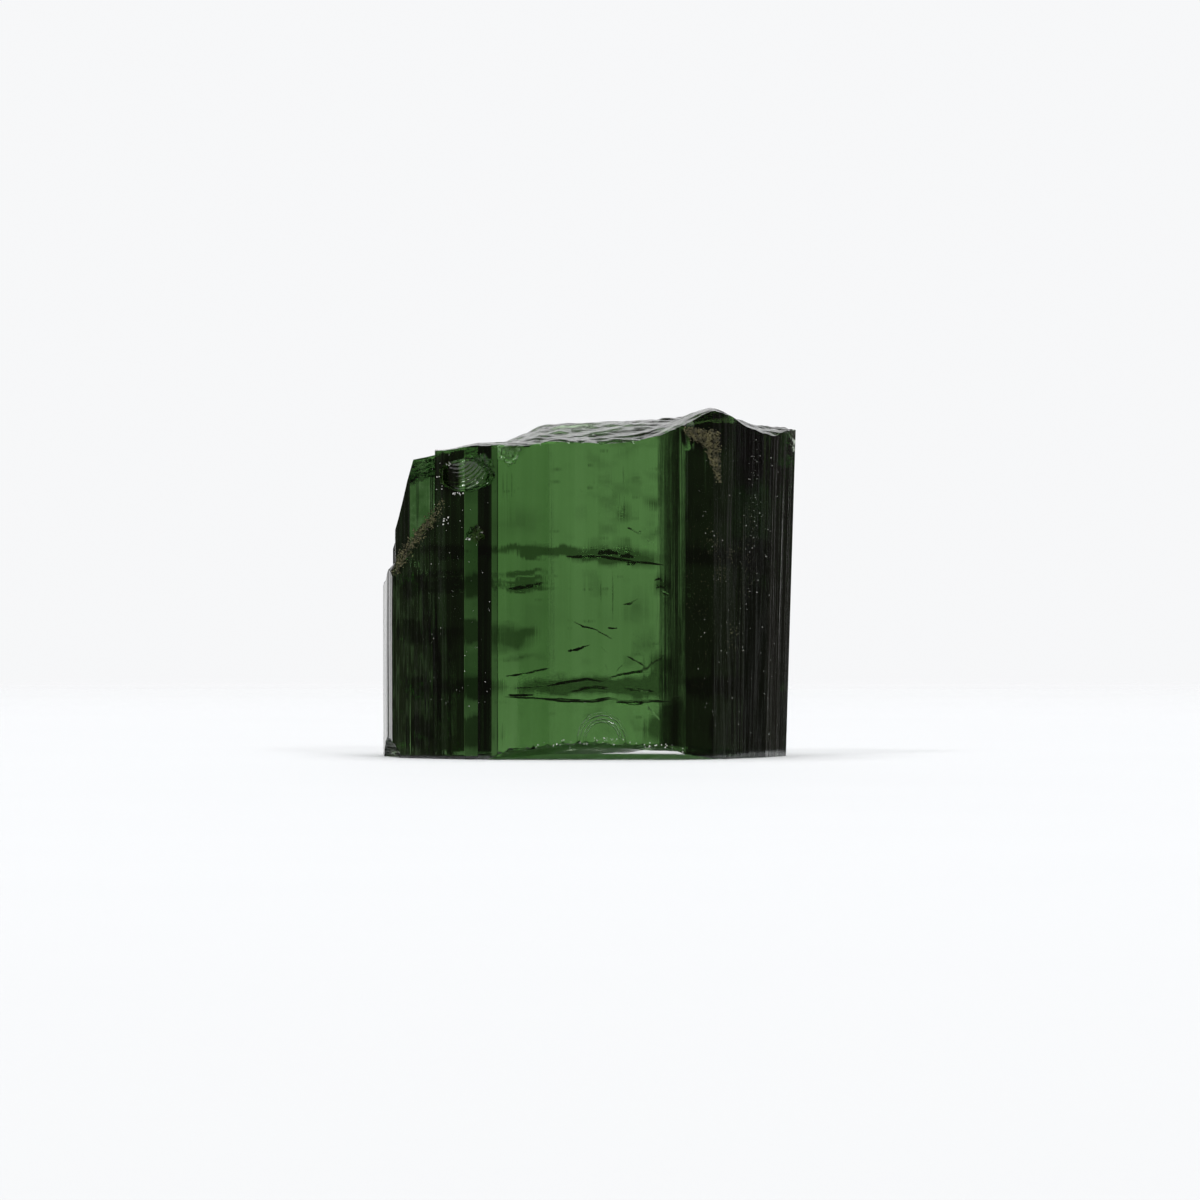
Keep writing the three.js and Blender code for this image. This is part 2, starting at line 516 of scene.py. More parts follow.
@dataclass
class LowerBreak:
    """The break across the bottom: an arch between two front feet that closes to a foot along the back."""

    breakage: Breakage
    arch_x: float = 0.8
    arch_half: float = 5.9
    arch_height: float = 1.0
    back_closure: float = 0.9
    back_foot_x: float = -3.5
    back_foot_rise: float = 0.05
    foot_sink: float = 0.2
    hackle: float = 0.07
    fine: float = 0.04
    nick: float = 0.2
    nick_shift: float = 50.0
    span: Span = (-12.0, 12.0, -8.5, 8.5)
    pitch: float = 0.11

    def height(self, x: Array, y: Array) -> Array:
        """Gives the height of the break, never below the floor.

        Args:
            x: Places across.
            y: Places from front to back.

        Returns:
            The heights.
        """
        share = self.breakage.back_share(y)
        arch = self.arch_height * (1 - ((x - self.arch_x) / self.arch_half) ** 2)
        back_rise = self.back_foot_rise * np.abs(x - self.back_foot_x) * share
        fine = self.fine * self.breakage.grain.layered(x * 1.1 + 40, y * 1.1, 5)
        nicks = self.nick * self.breakage.nicks(x + self.nick_shift, y)
        rough = self.hackle * self.breakage.hackle(y, x) + fine + nicks
        raw = arch * (1 - self.back_closure * share) + back_rise - self.foot_sink + rough
        return np.maximum(0.0, raw)

    def build(self) -> bpy.types.Object:
        """Returns the space below the break."""
        return MeshData.beyond(self.height, Side.BELOW, self.span, self.pitch).to_object("lower")


@dataclass
class LostLayer:
    """The layer that broke away from the upper left, with its inner wall and the slope that it left."""

    breakage: Breakage
    prism: Prism
    x: float = -8.8
    z: float = 8.45
    slope: float = 1.36
    tilt: float = 0.6
    tilt_from: float = -11.25
    tilt_most: float = 0.5
    hackle: float = 0.12
    fine: float = 0.06
    ridge: float = 0.03
    top: float = 25.0
    wall_rows: int = 10
    wall: tuple[Point, ...] = (
        (-11, -8),
        (-6.85, -8),
        (-7.0, -2.75),
        (-8.15, -2.55),
        (-8.85, -1.6),
        (-8.95, 3.0),
        (-11, 3.4),
    )
    span: Span = (-12.0, -6.0, -9.0, 4.5)
    pitch: float = 0.06

    def height(self, x: Array, y: Array) -> Array:
        """Gives the height of the slope that the layer left.

        Args:
            x: Places across.
            y: Places from front to back.

        Returns:
            The heights.
        """
        fine = self.fine * self.breakage.grain.layered(x * 2.2, y * 2.2 + 60, 4)
        tilt = np.clip(self.tilt * (x + y - self.tilt_from), 0.0, self.tilt_most)
        rough = self.hackle * self.breakage.hackle(2 * x, 1.6 * y) + fine
        return self.z + self.slope * (x - self.x) + tilt + rough

    def build(self) -> bpy.types.Object:
        """Makes the layer, as it was before it broke away.

        Returns:
            The layer's object.
        """
        corners = [Corner(x, y, self.ridge) for x, y in self.wall]
        heights = np.linspace(0.0, self.top, self.wall_rows).tolist()
        rings = [self.prism.outline(corners, z) for z in heights]
        layer = MeshData.column(rings, heights).to_object("layer")
        slope = MeshData.beyond(self.height, Side.ABOVE, self.span, self.pitch).to_object("slope")
        cut(layer, slope, Cut.SHARED)
        return layer


@dataclass
class LeaningBreak:
    """The steeper break above the slope that the lost layer left."""

    breakage: Breakage
    ledge: LostLayer
    x: float = -8.95
    z: float = 10.2
    slope: float = 3.6
    hackle: float = 0.12
    fine: float = 0.08
    span: Span = (-12.0, -6.4, -9.0, 9.0)
    pitch: float = 0.08

    def height(self, x: Array, y: Array) -> Array:
        """Gives the height of the break, never below the slope.

        Args:
            x: Places across.
            y: Places from front to back.

        Returns:
            The heights.
        """
        fine = self.fine * self.breakage.grain.layered(x * 2.2 + 90, y * 1.5, 4)
        rough = self.hackle * self.breakage.hackle(x, 2 * y) + fine
        return np.maximum(self.ledge.height(x, y), self.z + self.slope * (x - self.x) + rough)

    def build(self) -> bpy.types.Object:
        """Returns the space above the break."""
        return MeshData.beyond(self.height, Side.ABOVE, self.span, self.pitch).to_object("lean")


@dataclass
class Spall:
    """The spall that split off the lower left of the back, hinged at its top and deeper to the foot."""

    breakage: Breakage
    outline: tuple[Point, ...] = ((-7.5, 11), (-7.5, -3), (-3.2, -3), (-3.2, 4.3), (-4.05, 8.5))
    top: float = 11.0
    slope: float = 0.155
    fine: float = 0.05
    near: float = 3.0
    far: float = 12.0
    span: Span = (-9.0, -2.0, -13.0, 5.0)
    pitch: float = 0.1

    def floor(self, x: Array, down: Array) -> Array:
        """Gives how far back the floor of the spall lies.

        Args:
            x: Places across.
            down: Heights, counted downwards.

        Returns:
            The places from front to back.
        """
        fine = self.fine * self.breakage.grain.layered(x * 0.7 + 20, -down * 0.4, 4)
        return self.breakage.back - self.slope * (self.top + down) + fine

    def build(self) -> bpy.types.Object:
        """Makes the spall, as a solid to cut with.

        Returns:
            The spall's object.
        """
        outline = np.array(self.outline)
        slab = MeshData.column([outline, outline], [-self.far, -self.near]).to_object("slab")
        slab.data.transform(Matrix.Rotation(math.radians(90), 4, "X"))
        behind = MeshData.beyond(self.floor, Side.ABOVE, self.span, self.pitch).to_object("behind")
        behind.data.transform(Matrix.Rotation(math.radians(-90), 4, "X"))
        cut(slab, behind, Cut.SHARED)
        return slab


@dataclass(frozen=True)
class Chip:
    """A shell-shaped chip: its middle, half sizes, the way to the blow that struck it, and its ripples."""

    at: Place
    half: Place
    blow: Place = (0.0, 0.0, 1.0)
    rings: int = 0
    ripple: float = 0.0
    rows: int = 64
    columns: int = 96

    def build(self) -> bpy.types.Object:
        """Makes the chip, an ellipsoid with ripples that spread from the blow.

        Returns:
            The chip's object.
        """
        polar = np.linspace(0, math.pi, self.rows + 1)[1:-1]
        turn = np.linspace(0, 2 * math.pi, self.columns, endpoint=False)
        p, t = np.meshgrid(polar, turn, indexing="ij")
        unit = np.stack([np.sin(p) * np.cos(t), np.sin(p) * np.sin(t), -np.cos(p)], axis=-1)
        unit = np.concatenate([unit.reshape(-1, 3), [[0, 0, -1], [0, 0, 1]]])
        blow = np.array(self.blow) / np.linalg.norm(self.blow)
        angle = np.arccos(np.clip(unit @ blow, -1, 1))
        unit = unit * (1 + self.ripple * np.sin(2 * self.rings * angle))[:, None]
        faces = grid_faces(self.rows - 1, self.columns, wrap=True)
        low, high, last = len(unit) - 2, len(unit) - 1, (self.rows - 2) * self.columns
        for k in range(self.columns):
            n = (k + 1) % self.columns
            faces.append((low, n, k))
            faces.append((high, last + k, last + n))
        return MeshData(unit * np.array(self.half) + np.array(self.at), faces).to_object("chip")


@dataclass(frozen=True)
class Scoop:
    """A chip struck off the front: its middle and half sizes over x and z, and the surface it left.

    The surface starts at depth left on its left rim and slopes from there, by slope_left and then less
    and less. Its rim rises by wall, its middle is deeper by bowl, and ribs run round it at shares of the
    way to its rim. Ripples spread over it from the blow and grow to the right from ripple_start of their
    height.
    """

    x: float
    z: float
    half_x: float
    half_z: float
    left: float
    slope_left: float = 0.0
    bend: Point = (0.2, 0.85)
    bowl: float = 0.0
    wall: float = 0.0
    rough: float = 0.0
    cell: float = 0.12
    wobble: float = 0.07
    blow: Point = (0.0, 0.0)
    wave: float = 0.2
    ripple: float = 0.0
    ripple_start: float = 1.0
    ribs: tuple[float, ...] = ()
    rib_depth: float = 0.012
    rib_width: float = 0.014
    columns: int = 96
    ahead: float = -9.0

    def rings(self) -> Array:
        """Lists where the surface is drawn between its middle and its rim, closer at the ribs.

        Returns:
            The shares of the way to the rim.
        """
        offsets = self.rib_width * np.array((-2.0, -1.0, -0.5, 0.0, 0.5, 1.0, 2.0))
        close = (np.array(self.ribs)[:, None] + offsets).ravel()
        return np.unique(np.concatenate([np.linspace(0, 1, 41)[1:], close[close < 0.995]]))

    def surface(self, x: Array, z: Array, reach: Array, grain: Grain) -> Array:
        """Gives the depth of the surface that the chip left.

        Args:
            x: Places across.
            z: Heights.
            reach: How far each place lies from the middle to the rim, from 0 to 1.
            grain: Noise for the roughness.

        Returns:
            The places from front to back.
        """
        knots = np.linspace(0, 1, 65)
        slopes = self.slope_left * (1 - smoothstep(knots, *self.bend))
        sunk = np.concatenate([[0.0], np.cumsum((slopes[1:] + slopes[:-1]) / 2)]) / (len(knots) - 1)
        share = np.clip((x - self.x + self.half_x) / (2 * self.half_x), 0.0, 1.0)
        depth = self.left + 2 * self.half_x * np.interp(share, knots, sunk)
        depth = depth - self.bowl * ((z - self.z) / self.half_z) ** 2
        depth = depth - self.wall * smoothstep(reach, 0.86, 1.0)
        depth = depth + self.rough * grain.layered(x / self.cell, z / self.cell, 3)
        for rib in self.ribs:
            depth = depth + self.rib_depth * np.exp(-(((reach - rib) / self.rib_width) ** 2))
        spread = np.hypot(x - self.blow[0], z - self.blow[1])
        pulse = np.sin(2 * math.pi * spread / self.wave + 1.5 * grain.at(x, z))
        grown = self.ripple_start + (1 - self.ripple_start) * smoothstep(share, 0.3, 0.6)
        return depth + self.ripple * grown * pulse * (1 - smoothstep(reach, 0.8, 0.95))

    def build(self, grain: Grain) -> bpy.types.Object:
        """Makes the space in front of the surface, as a solid to cut with.

        Args:
            grain: Noise for the roughness.

        Returns:
            The space's object.
        """
        shares = self.rings()
        turns = np.linspace(0, 2 * math.pi, self.columns, endpoint=False)
        reach, turn = np.meshgrid(shares, turns, indexing="ij")
        uneven = grain.layered(2 * np.cos(turn) + 7 * self.x, 2 * np.sin(turn), 3)
        out = reach * (1 + self.wobble * uneven)
        x = self.x + self.half_x * out * np.cos(turn)
        z = self.z + self.half_z * out * np.sin(turn)
        points = np.stack([x, self.surface(x, z, reach, grain), z], axis=-1).reshape(-1, 3)
        middle = self.surface(np.array(self.x), np.array(self.z), np.array(0.0), grain)
        rim = points[-self.columns:].copy()
        rim[:, 1] = self.ahead
        points = np.concatenate([points, rim, [[self.x, float(middle), self.z]]])
        faces = grid_faces(len(shares) + 1, self.columns, wrap=True)
        centre, last = len(points) - 1, len(shares) * self.columns
        faces += [(centre, (k + 1) % self.columns, k) for k in range(self.columns)]
        faces.append(tuple(range(last, last + self.columns)))
        return MeshData(points, faces).to_object("scoop")


@dataclass
class CrystalBody:
    """The crystal: the striated prism with its breaks, lost layer, spall and chips cut away."""

    seed: int = 11
    chips: tuple[Chip, ...] = (
        Chip((5.2, -6.9, 14.9), (1.1, 0.8, 1.6)),
        Chip((9.75, 0.4, 8.6), (0.4, 0.9, 0.3)),
        Chip((-9.6, -1.4, -0.1), (1.3, 2.0, 1.1), (-0.3, 0, -1), 8, 0.02),
        Chip((8.3, 3.5, 15.4), (1.7, 1.5, 1.6), (0.4, 0.3, 1), 8, 0.01),
    )
    scoops: tuple[Scoop, ...] = (
        Scoop(-4.75, 13.55, 0.5, 0.35, -5.5, rough=0.06, wall=0.3, wobble=0.3),
        Scoop(
            -5.57,
            12.97,
            1.32,
            0.87,
            -3.95,
            slope_left=-1.25,
            bend=(0.25, 0.55),
            bowl=0.2,
            wall=0.9,
            rough=0.003,
            blow=(-5.95, 14.0),
            wave=0.18,
            ripple=0.012,
            ripple_start=0.4,
            columns=200,
            ribs=(0.83,),
            rib_depth=0.1,
            rib_width=0.06,
        ),
        Scoop(-3.5, 14.15, 0.55, 0.72, -6.28, bowl=0.1, wall=0.25, rough=0.09, cell=0.15, wobble=0.3),
        Scoop(-5.03, 10.3, 0.36, 0.36, -5.2, bowl=0.1, wall=0.4, rough=0.14, cell=0.16, wobble=0.3),
        Scoop(0.73, 0.85, 1.28, 1.45, -6.465, wall=0.04, wobble=0.03, ribs=(0.6, 0.68, 0.8, 0.89)),
    )

    def build(self) -> bpy.types.Object:
        """Cuts everything that broke away from the prism.

        Returns:
            The crystal's object, still in millimetres.
        """
        grain = Grain(self.seed)
        prism = Prism(grain)
        breakage = Breakage(grain, prism.front, prism.back)
        layer = LostLayer(breakage, prism)
        body = prism.build()
        for lost in (
            UpperBreak(breakage),
            LowerBreak(breakage),
            layer,
            LeaningBreak(breakage, layer),
            Spall(breakage),
            *self.chips,
        ):
            cut(body, lost.build())
        for scoop in self.scoops:
            cut(body, scoop.build(grain))
        body.name = "crystal"
        return body


@dataclass(frozen=True)
class Crack:
    """A crack inside the crystal: its line over x and z, its depth and reach, and its rise to the back."""

    line: tuple[Point, ...]
    y: float
    half: float
    lean: float = 0.18


@dataclass(frozen=True)
class Veil:
    """A cloud of small flat hollows: its middle, half sizes, how many there are and their size."""

    at: Place
    half: Place
    count: int
    size: float


@dataclass(frozen=True)
class Tube:
    """A fine growth tube along the crystal: where it lies and how far up it runs."""

    x: float
    y: float
    low: float
    high: float


@dataclass
class Inclusions:
    """The cracks, veils and growth tubes inside the crystal, each of them a small hollow."""

    seed: int = 5
    cell: float = 0.1
    gape: float = 0.012
    ragged: float = 0.6
    swell: float = 0.018
    flake_sides: int = 8
    flake_half: float = 0.005
    tube_radius: float = 0.014
    tube_sides: int = 6
    tube_rows: int = 9
    cracks: tuple[Crack, ...] = (
        Crack(((-0.95, 9.26), (-0.52, 9.23), (0.61, 9.27), (2.07, 9.05), (3.57, 8.86)), -4.2, 0.28, 0.2),
        Crack(((1.8, 8.95), (2.07, 8.93), (2.34, 8.98)), -5.8, 0.3, 0.25),
        Crack(((0.48, 9.41), (0.98, 9.48), (1.48, 9.41)), -2.0, 0.6, 0.22),
        Crack(((1.52, 9.27), (1.84, 9.32), (2.2, 9.25)), -2.0, 0.5, 0.22),
        Crack(((-3.57, 7.8), (-2.8, 7.86), (-1.98, 8.05)), -4.8, 0.35, 0.22),
        Crack(((-3.7, 3.81), (-2.84, 3.92), (-1.75, 4.15)), -4.8, 0.2, 0.2),
        Crack(((-0.86, 4.95), (-0.48, 5.02), (-0.2, 5.11), (0.14, 5.23)), -4.5, 0.25, 0.22),
        Crack(((-0.57, 6.27), (-0.27, 6.1), (0.37, 5.93), (1.16, 5.48)), -3.6, 0.25, 0.2),
        Crack(((1.84, 4.7), (2.25, 4.5), (2.69, 4.25)), -5.3, 0.22, 0.2),
        Crack(((0.96, 6.0), (1.16, 5.98), (1.41, 6.0)), -4.9, 0.2, 0.25),
        Crack(((0.69, 5.14), (0.82, 5.0), (0.93, 4.84)), -4.0, 0.2),
        Crack(((0.84, 4.36), (0.89, 4.23), (0.95, 4.05)), -5.2, 0.2),
        Crack(((1.34, 4.0), (1.48, 4.18), (1.64, 4.32)), -5.5, 0.2),
        Crack(((1.66, 7.06), (2.02, 7.11), (2.34, 7.33)), -4.0, 0.25, 0.15),
        Crack(
            (
                (-3.75, 2.86),
                (-2.48, 2.82),
                (-1.2, 2.7),
                (0.25, 2.65),
                (1.02, 2.79),
                (1.75, 2.65),
                (2.89, 2.65),
                (3.89, 2.64),
            ),
            -4.9,
            0.34,
            0.16,
        ),
        Crack(((1.34, 2.61), (1.89, 2.57), (2.66, 2.6)), -5.85, 0.3, 0.25),
        Crack(((-3.6, 2.92), (-3.16, 2.9), (-2.43, 2.92)), -3.7, 0.25, 0.2),
        Crack(((-3.3, 3.23), (-2.11, 3.3), (-1.2, 3.45), (0.02, 3.66), (0.75, 3.51)), -1.6, 0.28),
        Crack(((-0.7, 3.05), (-0.07, 3.2), (0.43, 3.27), (0.93, 3.2)), 0.5, 0.35, 0.2),
        Crack(((1.75, 3.23), (2.43, 3.14), (3.07, 3.09)), -3.4, 0.35, 0.2),
        Crack(((1.0, 3.68), (1.55, 3.86), (2.52, 4.0), (2.98, 4.36), (3.66, 4.75)), -1.5, 0.28, 0.2),
        Crack(((2.74, 2.42), (3.02, 2.15), (3.33, 1.79)), -5.3, 0.3, 0.25),
        Crack(((1.84, 10.59), (2.07, 10.52), (2.37, 10.29)), -3.5, 0.35),
        Crack(((2.69, 10.09), (2.89, 9.95), (3.05, 9.77)), -5.0, 0.3),
        Crack(((3.11, 8.18), (3.3, 8.25), (3.48, 8.18)), -4.4, 0.3, 0.25),
        Crack(((3.16, 7.82), (3.39, 7.91), (3.61, 7.82)), -4.4, 0.3, 0.25),
        Crack(((3.39, 7.7), (3.57, 7.59), (3.75, 7.5)), -5.2, 0.3, 0.25),
        Crack(((0.93, 12.59), (1.19, 12.32), (1.31, 11.91), (1.39, 11.55), (1.64, 11.23)), -3.0, 0.3),
    )
    veils: tuple[Veil, ...] = (
        Veil((1.0, 0.6, 9.5), (1.3, 0.5, 0.3), 70, 0.07),
        Veil((2.7, -5.0, 5.1), (0.55, 0.4, 0.75), 90, 0.03),
        Veil((3.1, -5.0, 3.7), (0.5, 0.3, 0.3), 26, 0.05),
        Veil((3.4, -2.5, 7.8), (0.3, 0.4, 0.5), 20, 0.05),
        Veil((2.9, -2.0, 10.1), (0.5, 0.5, 0.4), 26, 0.05),
        Veil((1.6, -2.0, 11.3), (0.2, 0.3, 0.35), 22, 0.05),
        Veil((0.4, -4.5, 12.6), (0.9, 0.5, 1.5), 40, 0.025),
        Veil((-3.1, 3.4, 8.1), (0.8, 0.3, 0.5), 20, 0.06),
    )
    tubes: tuple[Tube, ...] = (
        Tube(1.66, -4.0, 12.55, 13.36),
        Tube(1.7, -4.6, 11.09, 12.0),
        Tube(1.2, -5.2, 6.3, 8.6),
        Tube(0.66, -5.0, 7.0, 8.18),
        Tube(-3.8, -6.2, 11.8, 13.1),
        Tube(-3.62, -6.2, 11.6, 13.2),
        Tube(-3.4, -6.2, 11.9, 13.1),
    )

    def __post_init__(self) -> None:
        """Draws the noise."""
        self.grain = Grain(self.seed)
        self.chance = np.random.default_rng(self.seed)

    def crack(self, crack: Crack) -> MeshData:
        """Makes one crack, a thin lens that follows its line and narrows to its rim.

        Args:
            crack: The crack.

        Returns:
            The lens.
        """
        line = np.array(crack.line)
        steps = np.concatenate([[0], np.cumsum(np.hypot(*np.diff(line, axis=0).T))])
        across = max(10, round(steps[-1] / self.cell))
        deep = max(8, round(2 * crack.half / (1.6 * self.cell)))
        u, v = np.meshgrid(np.linspace(0, 1, across), np.linspace(-1, 1, deep), indexing="ij")
        taper = np.clip(1 - (2 * u - 1) ** 4, 0, 1)
        uneven = 1 + self.ragged * self.grain.at(9 * u + 40 * crack.y, line[0, 1])
        reach = crack.half * np.sqrt(np.maximum(taper, 0.03)) * uneven
        x = np.interp(u * steps[-1], steps, line[:, 0])
        y = crack.y + v * reach
        swell = self.swell * self.grain.layered(x / 0.6 + 9 * crack.y, y / 0.6, 3)
        z = np.interp(u * steps[-1], steps, line[:, 1]) + crack.lean * v * reach + swell
        half_gape = self.gape / 2 * (1 - v**2) * taper
        upper = np.stack([x, y, z + half_gape], axis=-1).reshape(-1, 3)
        lower = np.stack([x, y, z - half_gape], axis=-1).reshape(-1, 3)
        above = np.arange(across * deep).reshape(across, deep)
        inner = np.zeros((across, deep), bool)
        inner[1:-1, 1:-1] = True
        below = above.copy()
        below[inner] = across * deep + np.arange(inner.sum())
        quads = np.array(grid_faces(across, deep))
        faces = above.ravel()[quads[:, ::-1]].tolist() + below.ravel()[quads].tolist()
        points = np.concatenate([upper, lower[inner.ravel()]])
        return MeshData(points, [tuple(face) for face in faces])

    def flake(self, at: Array, size: float) -> MeshData:
        """Makes one small flat hollow.

        Args:
            at: Its middle.
            size: Its radius.

        Returns:
            The hollow's shape.
        """
        sides = self.flake_sides
        turn = np.linspace(0, 2 * math.pi, sides, endpoint=False)
        reach = size * self.chance.uniform(0.5, 1.2, sides)
        tilt, roll = self.chance.normal(0.2, 0.12), self.chance.normal(0.0, 0.15)
        x, y = reach * np.cos(turn), reach * np.sin(turn)
        rim = np.column_stack([x, y, roll * x - tilt * y])
        points = np.concatenate([rim, [[0, 0, self.flake_half], [0, 0, -self.flake_half]]]) + at
        pairs = [(k, (k + 1) % sides) for k in range(sides)]
        return MeshData(points, [(k, n, sides) for k, n in pairs] + [(n, k, sides + 1) for k, n in pairs])

    def tube(self, tube: Tube) -> MeshData:
        """Makes one growth tube, pointed at both ends.

        Args:
            tube: The tube.

        Returns:
            The tube's shape.
        """
        sides, rows = self.tube_sides, self.tube_rows
        heights = np.linspace(tube.low, tube.high, rows)
        girth = self.tube_radius * np.sin(np.linspace(0.15, math.pi - 0.15, rows))
        turn = np.linspace(0, 2 * math.pi, sides, endpoint=False)
        x = tube.x + np.outer(girth, np.cos(turn))
        y = tube.y + np.outer(girth, np.sin(turn))
        z = np.outer(heights, np.ones(sides))
        ends = [[tube.x, tube.y, tube.low - 0.02], [tube.x, tube.y, tube.high + 0.02]]
        points = np.concatenate([np.stack([x, y, z], axis=-1).reshape(-1, 3), ends])
        faces = grid_faces(rows, sides, wrap=True)
        last, foot, head = (rows - 1) * sides, rows * sides, rows * sides + 1
        faces += [((k + 1) % sides, k, foot) for k in range(sides)]
        faces += [(last + k, last + (k + 1) % sides, head) for k in range(sides)]
        return MeshData(points, faces)

    def build(self) -> MeshData:
        """Makes every hollow.

        Returns:
            The hollows as one mesh whose faces look into them.
        """
        shapes = [self.crack(crack) for crack in self.cracks]
        for veil in self.veils:
            spread = self.chance.uniform(-1, 1, (veil.count, 3)) * np.array(veil.half) + np.array(veil.at)
            shapes += [self.flake(at, veil.size * self.chance.uniform(0.5, 1.4)) for at in spread]
        shapes += [self.tube(tube) for tube in self.tubes]
        return MeshData.together(shapes).turned_out()


@dataclass(frozen=True)
class Patch:
    """Where grains lie on the front: an outline over x and z, how many, how big, and how soft its edge."""

    outline: tuple[Point, ...]
    count: int
    least: float
    most: float
    soft: float = 0.06

    @staticmethod
    def round(x: float, z: float, half: Point, count: int, least: float, most: float) -> "Patch":
        """Makes a round patch with a soft edge.

        Args:
            x: Its middle across.
            z: Its middle's height.
            half: Its half sizes over x and z.
            count: How many grains are tried.
            least: Least radius of a grain.
            most: Greatest radius of a grain.

        Returns:
            The patch.
        """
        turns = [k * math.pi / 4 for k in range(8)]
        outline = tuple((x + half[0] * math.cos(t), z + half[1] * math.sin(t)) for t in turns)
        return Patch(outline, count, least, most, 0.5 * min(half))

    def holds(self, x: float, z: float) -> bool:
        """Tells whether a place lies inside the outline.

        Args:
            x: The place across.
            z: Its height.

        Returns:
            Whether it does.
        """
        inside = False
        for (ax, az), (bx, bz) in zip(self.outline, self.outline[1:] + self.outline[:1]):
            if (az > z) != (bz > z) and x < (bx - ax) * (z - az) / (bz - az) + ax:
                inside = not inside
        return inside


@dataclass
class Grains:
    """Small irregular grains that lie on the crystal's surface, in patches seen from the front."""

    name: str
    seed: int
    patches: tuple[Patch, ...]
    sunk: float = 0.35
    ahead: float = -20.0

    def lump(self, at: Vector, normal: Vector, size: float, chance: np.random.Generator) -> MeshData:
        """Makes one grain, a lump of uneven facets.

        Args:
            at: Where it lies.
            normal: The surface's normal there.
            size: Its radius.
            chance: Source of its unevenness.

        Returns:
            The grain's shape.
        """
        golden = (1 + math.sqrt(5)) / 2
        signs = [(a, b) for a in (-1, 1) for b in (-1, 1)]
        corners = [(0, a, b * golden) for a, b in signs]
        corners += [(a, b * golden, 0) for a, b in signs]
        corners += [(b * golden, 0, a) for a, b in signs]
        hull = bmesh.new()
        for corner in corners:
            hull.verts.new(Vector(corner).normalized() * size * chance.uniform(0.6, 1.15))
        bmesh.ops.convex_hull(hull, input=hull.verts)
        hull.verts.ensure_lookup_table()
        hull.verts.index_update()
        bmesh.ops.recalc_face_normals(hull, faces=hull.faces)
        centre = at + normal * size * (1 - 2 * self.sunk)
        points = np.array([v.co for v in hull.verts]) + np.array(centre)
        faces = [tuple(v.index for v in face.verts) for face in hull.faces]
        hull.free()
        return MeshData(points, faces)

    def build(self, surface: BVHTree) -> bpy.types.Object:
        """Lays the grains.

        Args:
            surface: The crystal's surface, in millimetres.

        Returns:
            The grains' object, still in millimetres.
        """
        chance = np.random.default_rng(self.seed)
        shapes = []
        for patch in self.patches:
            outline = np.array(patch.outline)
            low, high = outline.min(axis=0) - patch.soft, outline.max(axis=0) + patch.soft
            for _ in range(patch.count):
                x, z = chance.uniform(low, high)
                size = patch.least + (patch.most - patch.least) * chance.uniform() ** 2
                if not patch.holds(*chance.normal((x, z), patch.soft)):
                    continue
                at, normal, _, _ = surface.ray_cast(Vector((x, self.ahead, z)), Vector((0, 1, 0)))
                if at is not None:
                    shapes.append(self.lump(at, normal, size, chance))
        return MeshData.together(shapes).to_object(self.name)


@dataclass
class IronStain(Grains):
    """Iron-stained grains in the upper right corner, on the ledge and down the right flank."""

    name: str = "iron_stain"
    seed: int = 21
    patches: tuple[Patch, ...] = (
        Patch(
            (
                (4.5, 15.1),
                (5.6, 15.0),
                (6.0, 14.9),
                (6.1, 12.64),
                (5.96, 12.7),
                (5.64, 13.6),
                (5.4, 14.3),
                (4.5, 14.8),
            ),
            3600,
            0.02,
            0.05,
        ),
        Patch(((-8.9, 8.4), (-6.8, 11.1), (-6.5, 11.9), (-8.8, 9.3)), 6000, 0.015, 0.05, 0.1),
        Patch.round(5.8, 9.9, (0.25, 0.8), 160, 0.008, 0.024),
        Patch.round(6.1, 8.6, (0.3, 0.5), 160, 0.008, 0.024),
        Patch.round(6.6, 9.4, (0.3, 0.4), 120, 0.008, 0.024),
        Patch.round(6.7, 5.6, (0.2, 0.6), 110, 0.008, 0.024),
        Patch.round(5.2, 6.5, (0.5, 4.5), 200, 0.007, 0.018),
        Patch.round(7.4, 9.5, (0.3, 2.5), 200, 0.007, 0.018),
    )


@dataclass
class DustAndGlints(Grains):
    """Pale grains: specks on the flanks, and painted glints along the lower front edge and round the chips.
    """

    name: str = "dust_and_glints"
    seed: int = 22
    patches: tuple[Patch, ...] = (
        Patch(((5.0, 1.0), (8.8, 1.0), (9.0, 14.0), (5.0, 14.0)), 100, 0.01, 0.024),
        Patch.round(7.7, 12.0, (0.25, 3.0), 110, 0.008, 0.02),
        Patch(((-7.6, 2.0), (-4.4, 2.0), (-4.4, 14.2), (-7.0, 14.2)), 90, 0.01, 0.025),
        # Painted glints: pale grains along the lower front edge.
        Patch(
            ((-4.0, 0.1), (-2.0, 0.5), (0.8, 0.75), (4.5, 0.35), (4.5, 0.6), (0.8, 1.0), (-2.0, 0.75)),
            420,
            0.015,
            0.045,
        ),
        # Painted glints: pale grains on the chips' rims.
        Patch.round(-6.34, 13.45, (0.15, 0.1), 14, 0.03, 0.06),
        Patch.round(-6.85, 13.0, (0.1, 0.1), 8, 0.03, 0.05),
        Patch.round(-6.5, 12.36, (0.15, 0.1), 10, 0.03, 0.05),
        Patch.round(-5.9, 12.1, (0.35, 0.06), 14, 0.03, 0.05),
        Patch.round(-6.45, 10.9, (0.12, 0.5), 12, 0.03, 0.05),
        Patch.round(-5.4, 10.1, (0.1, 0.08), 8, 0.03, 0.06),
        Patch.round(-4.78, 10.4, (0.08, 0.12), 8, 0.03, 0.06),
    )


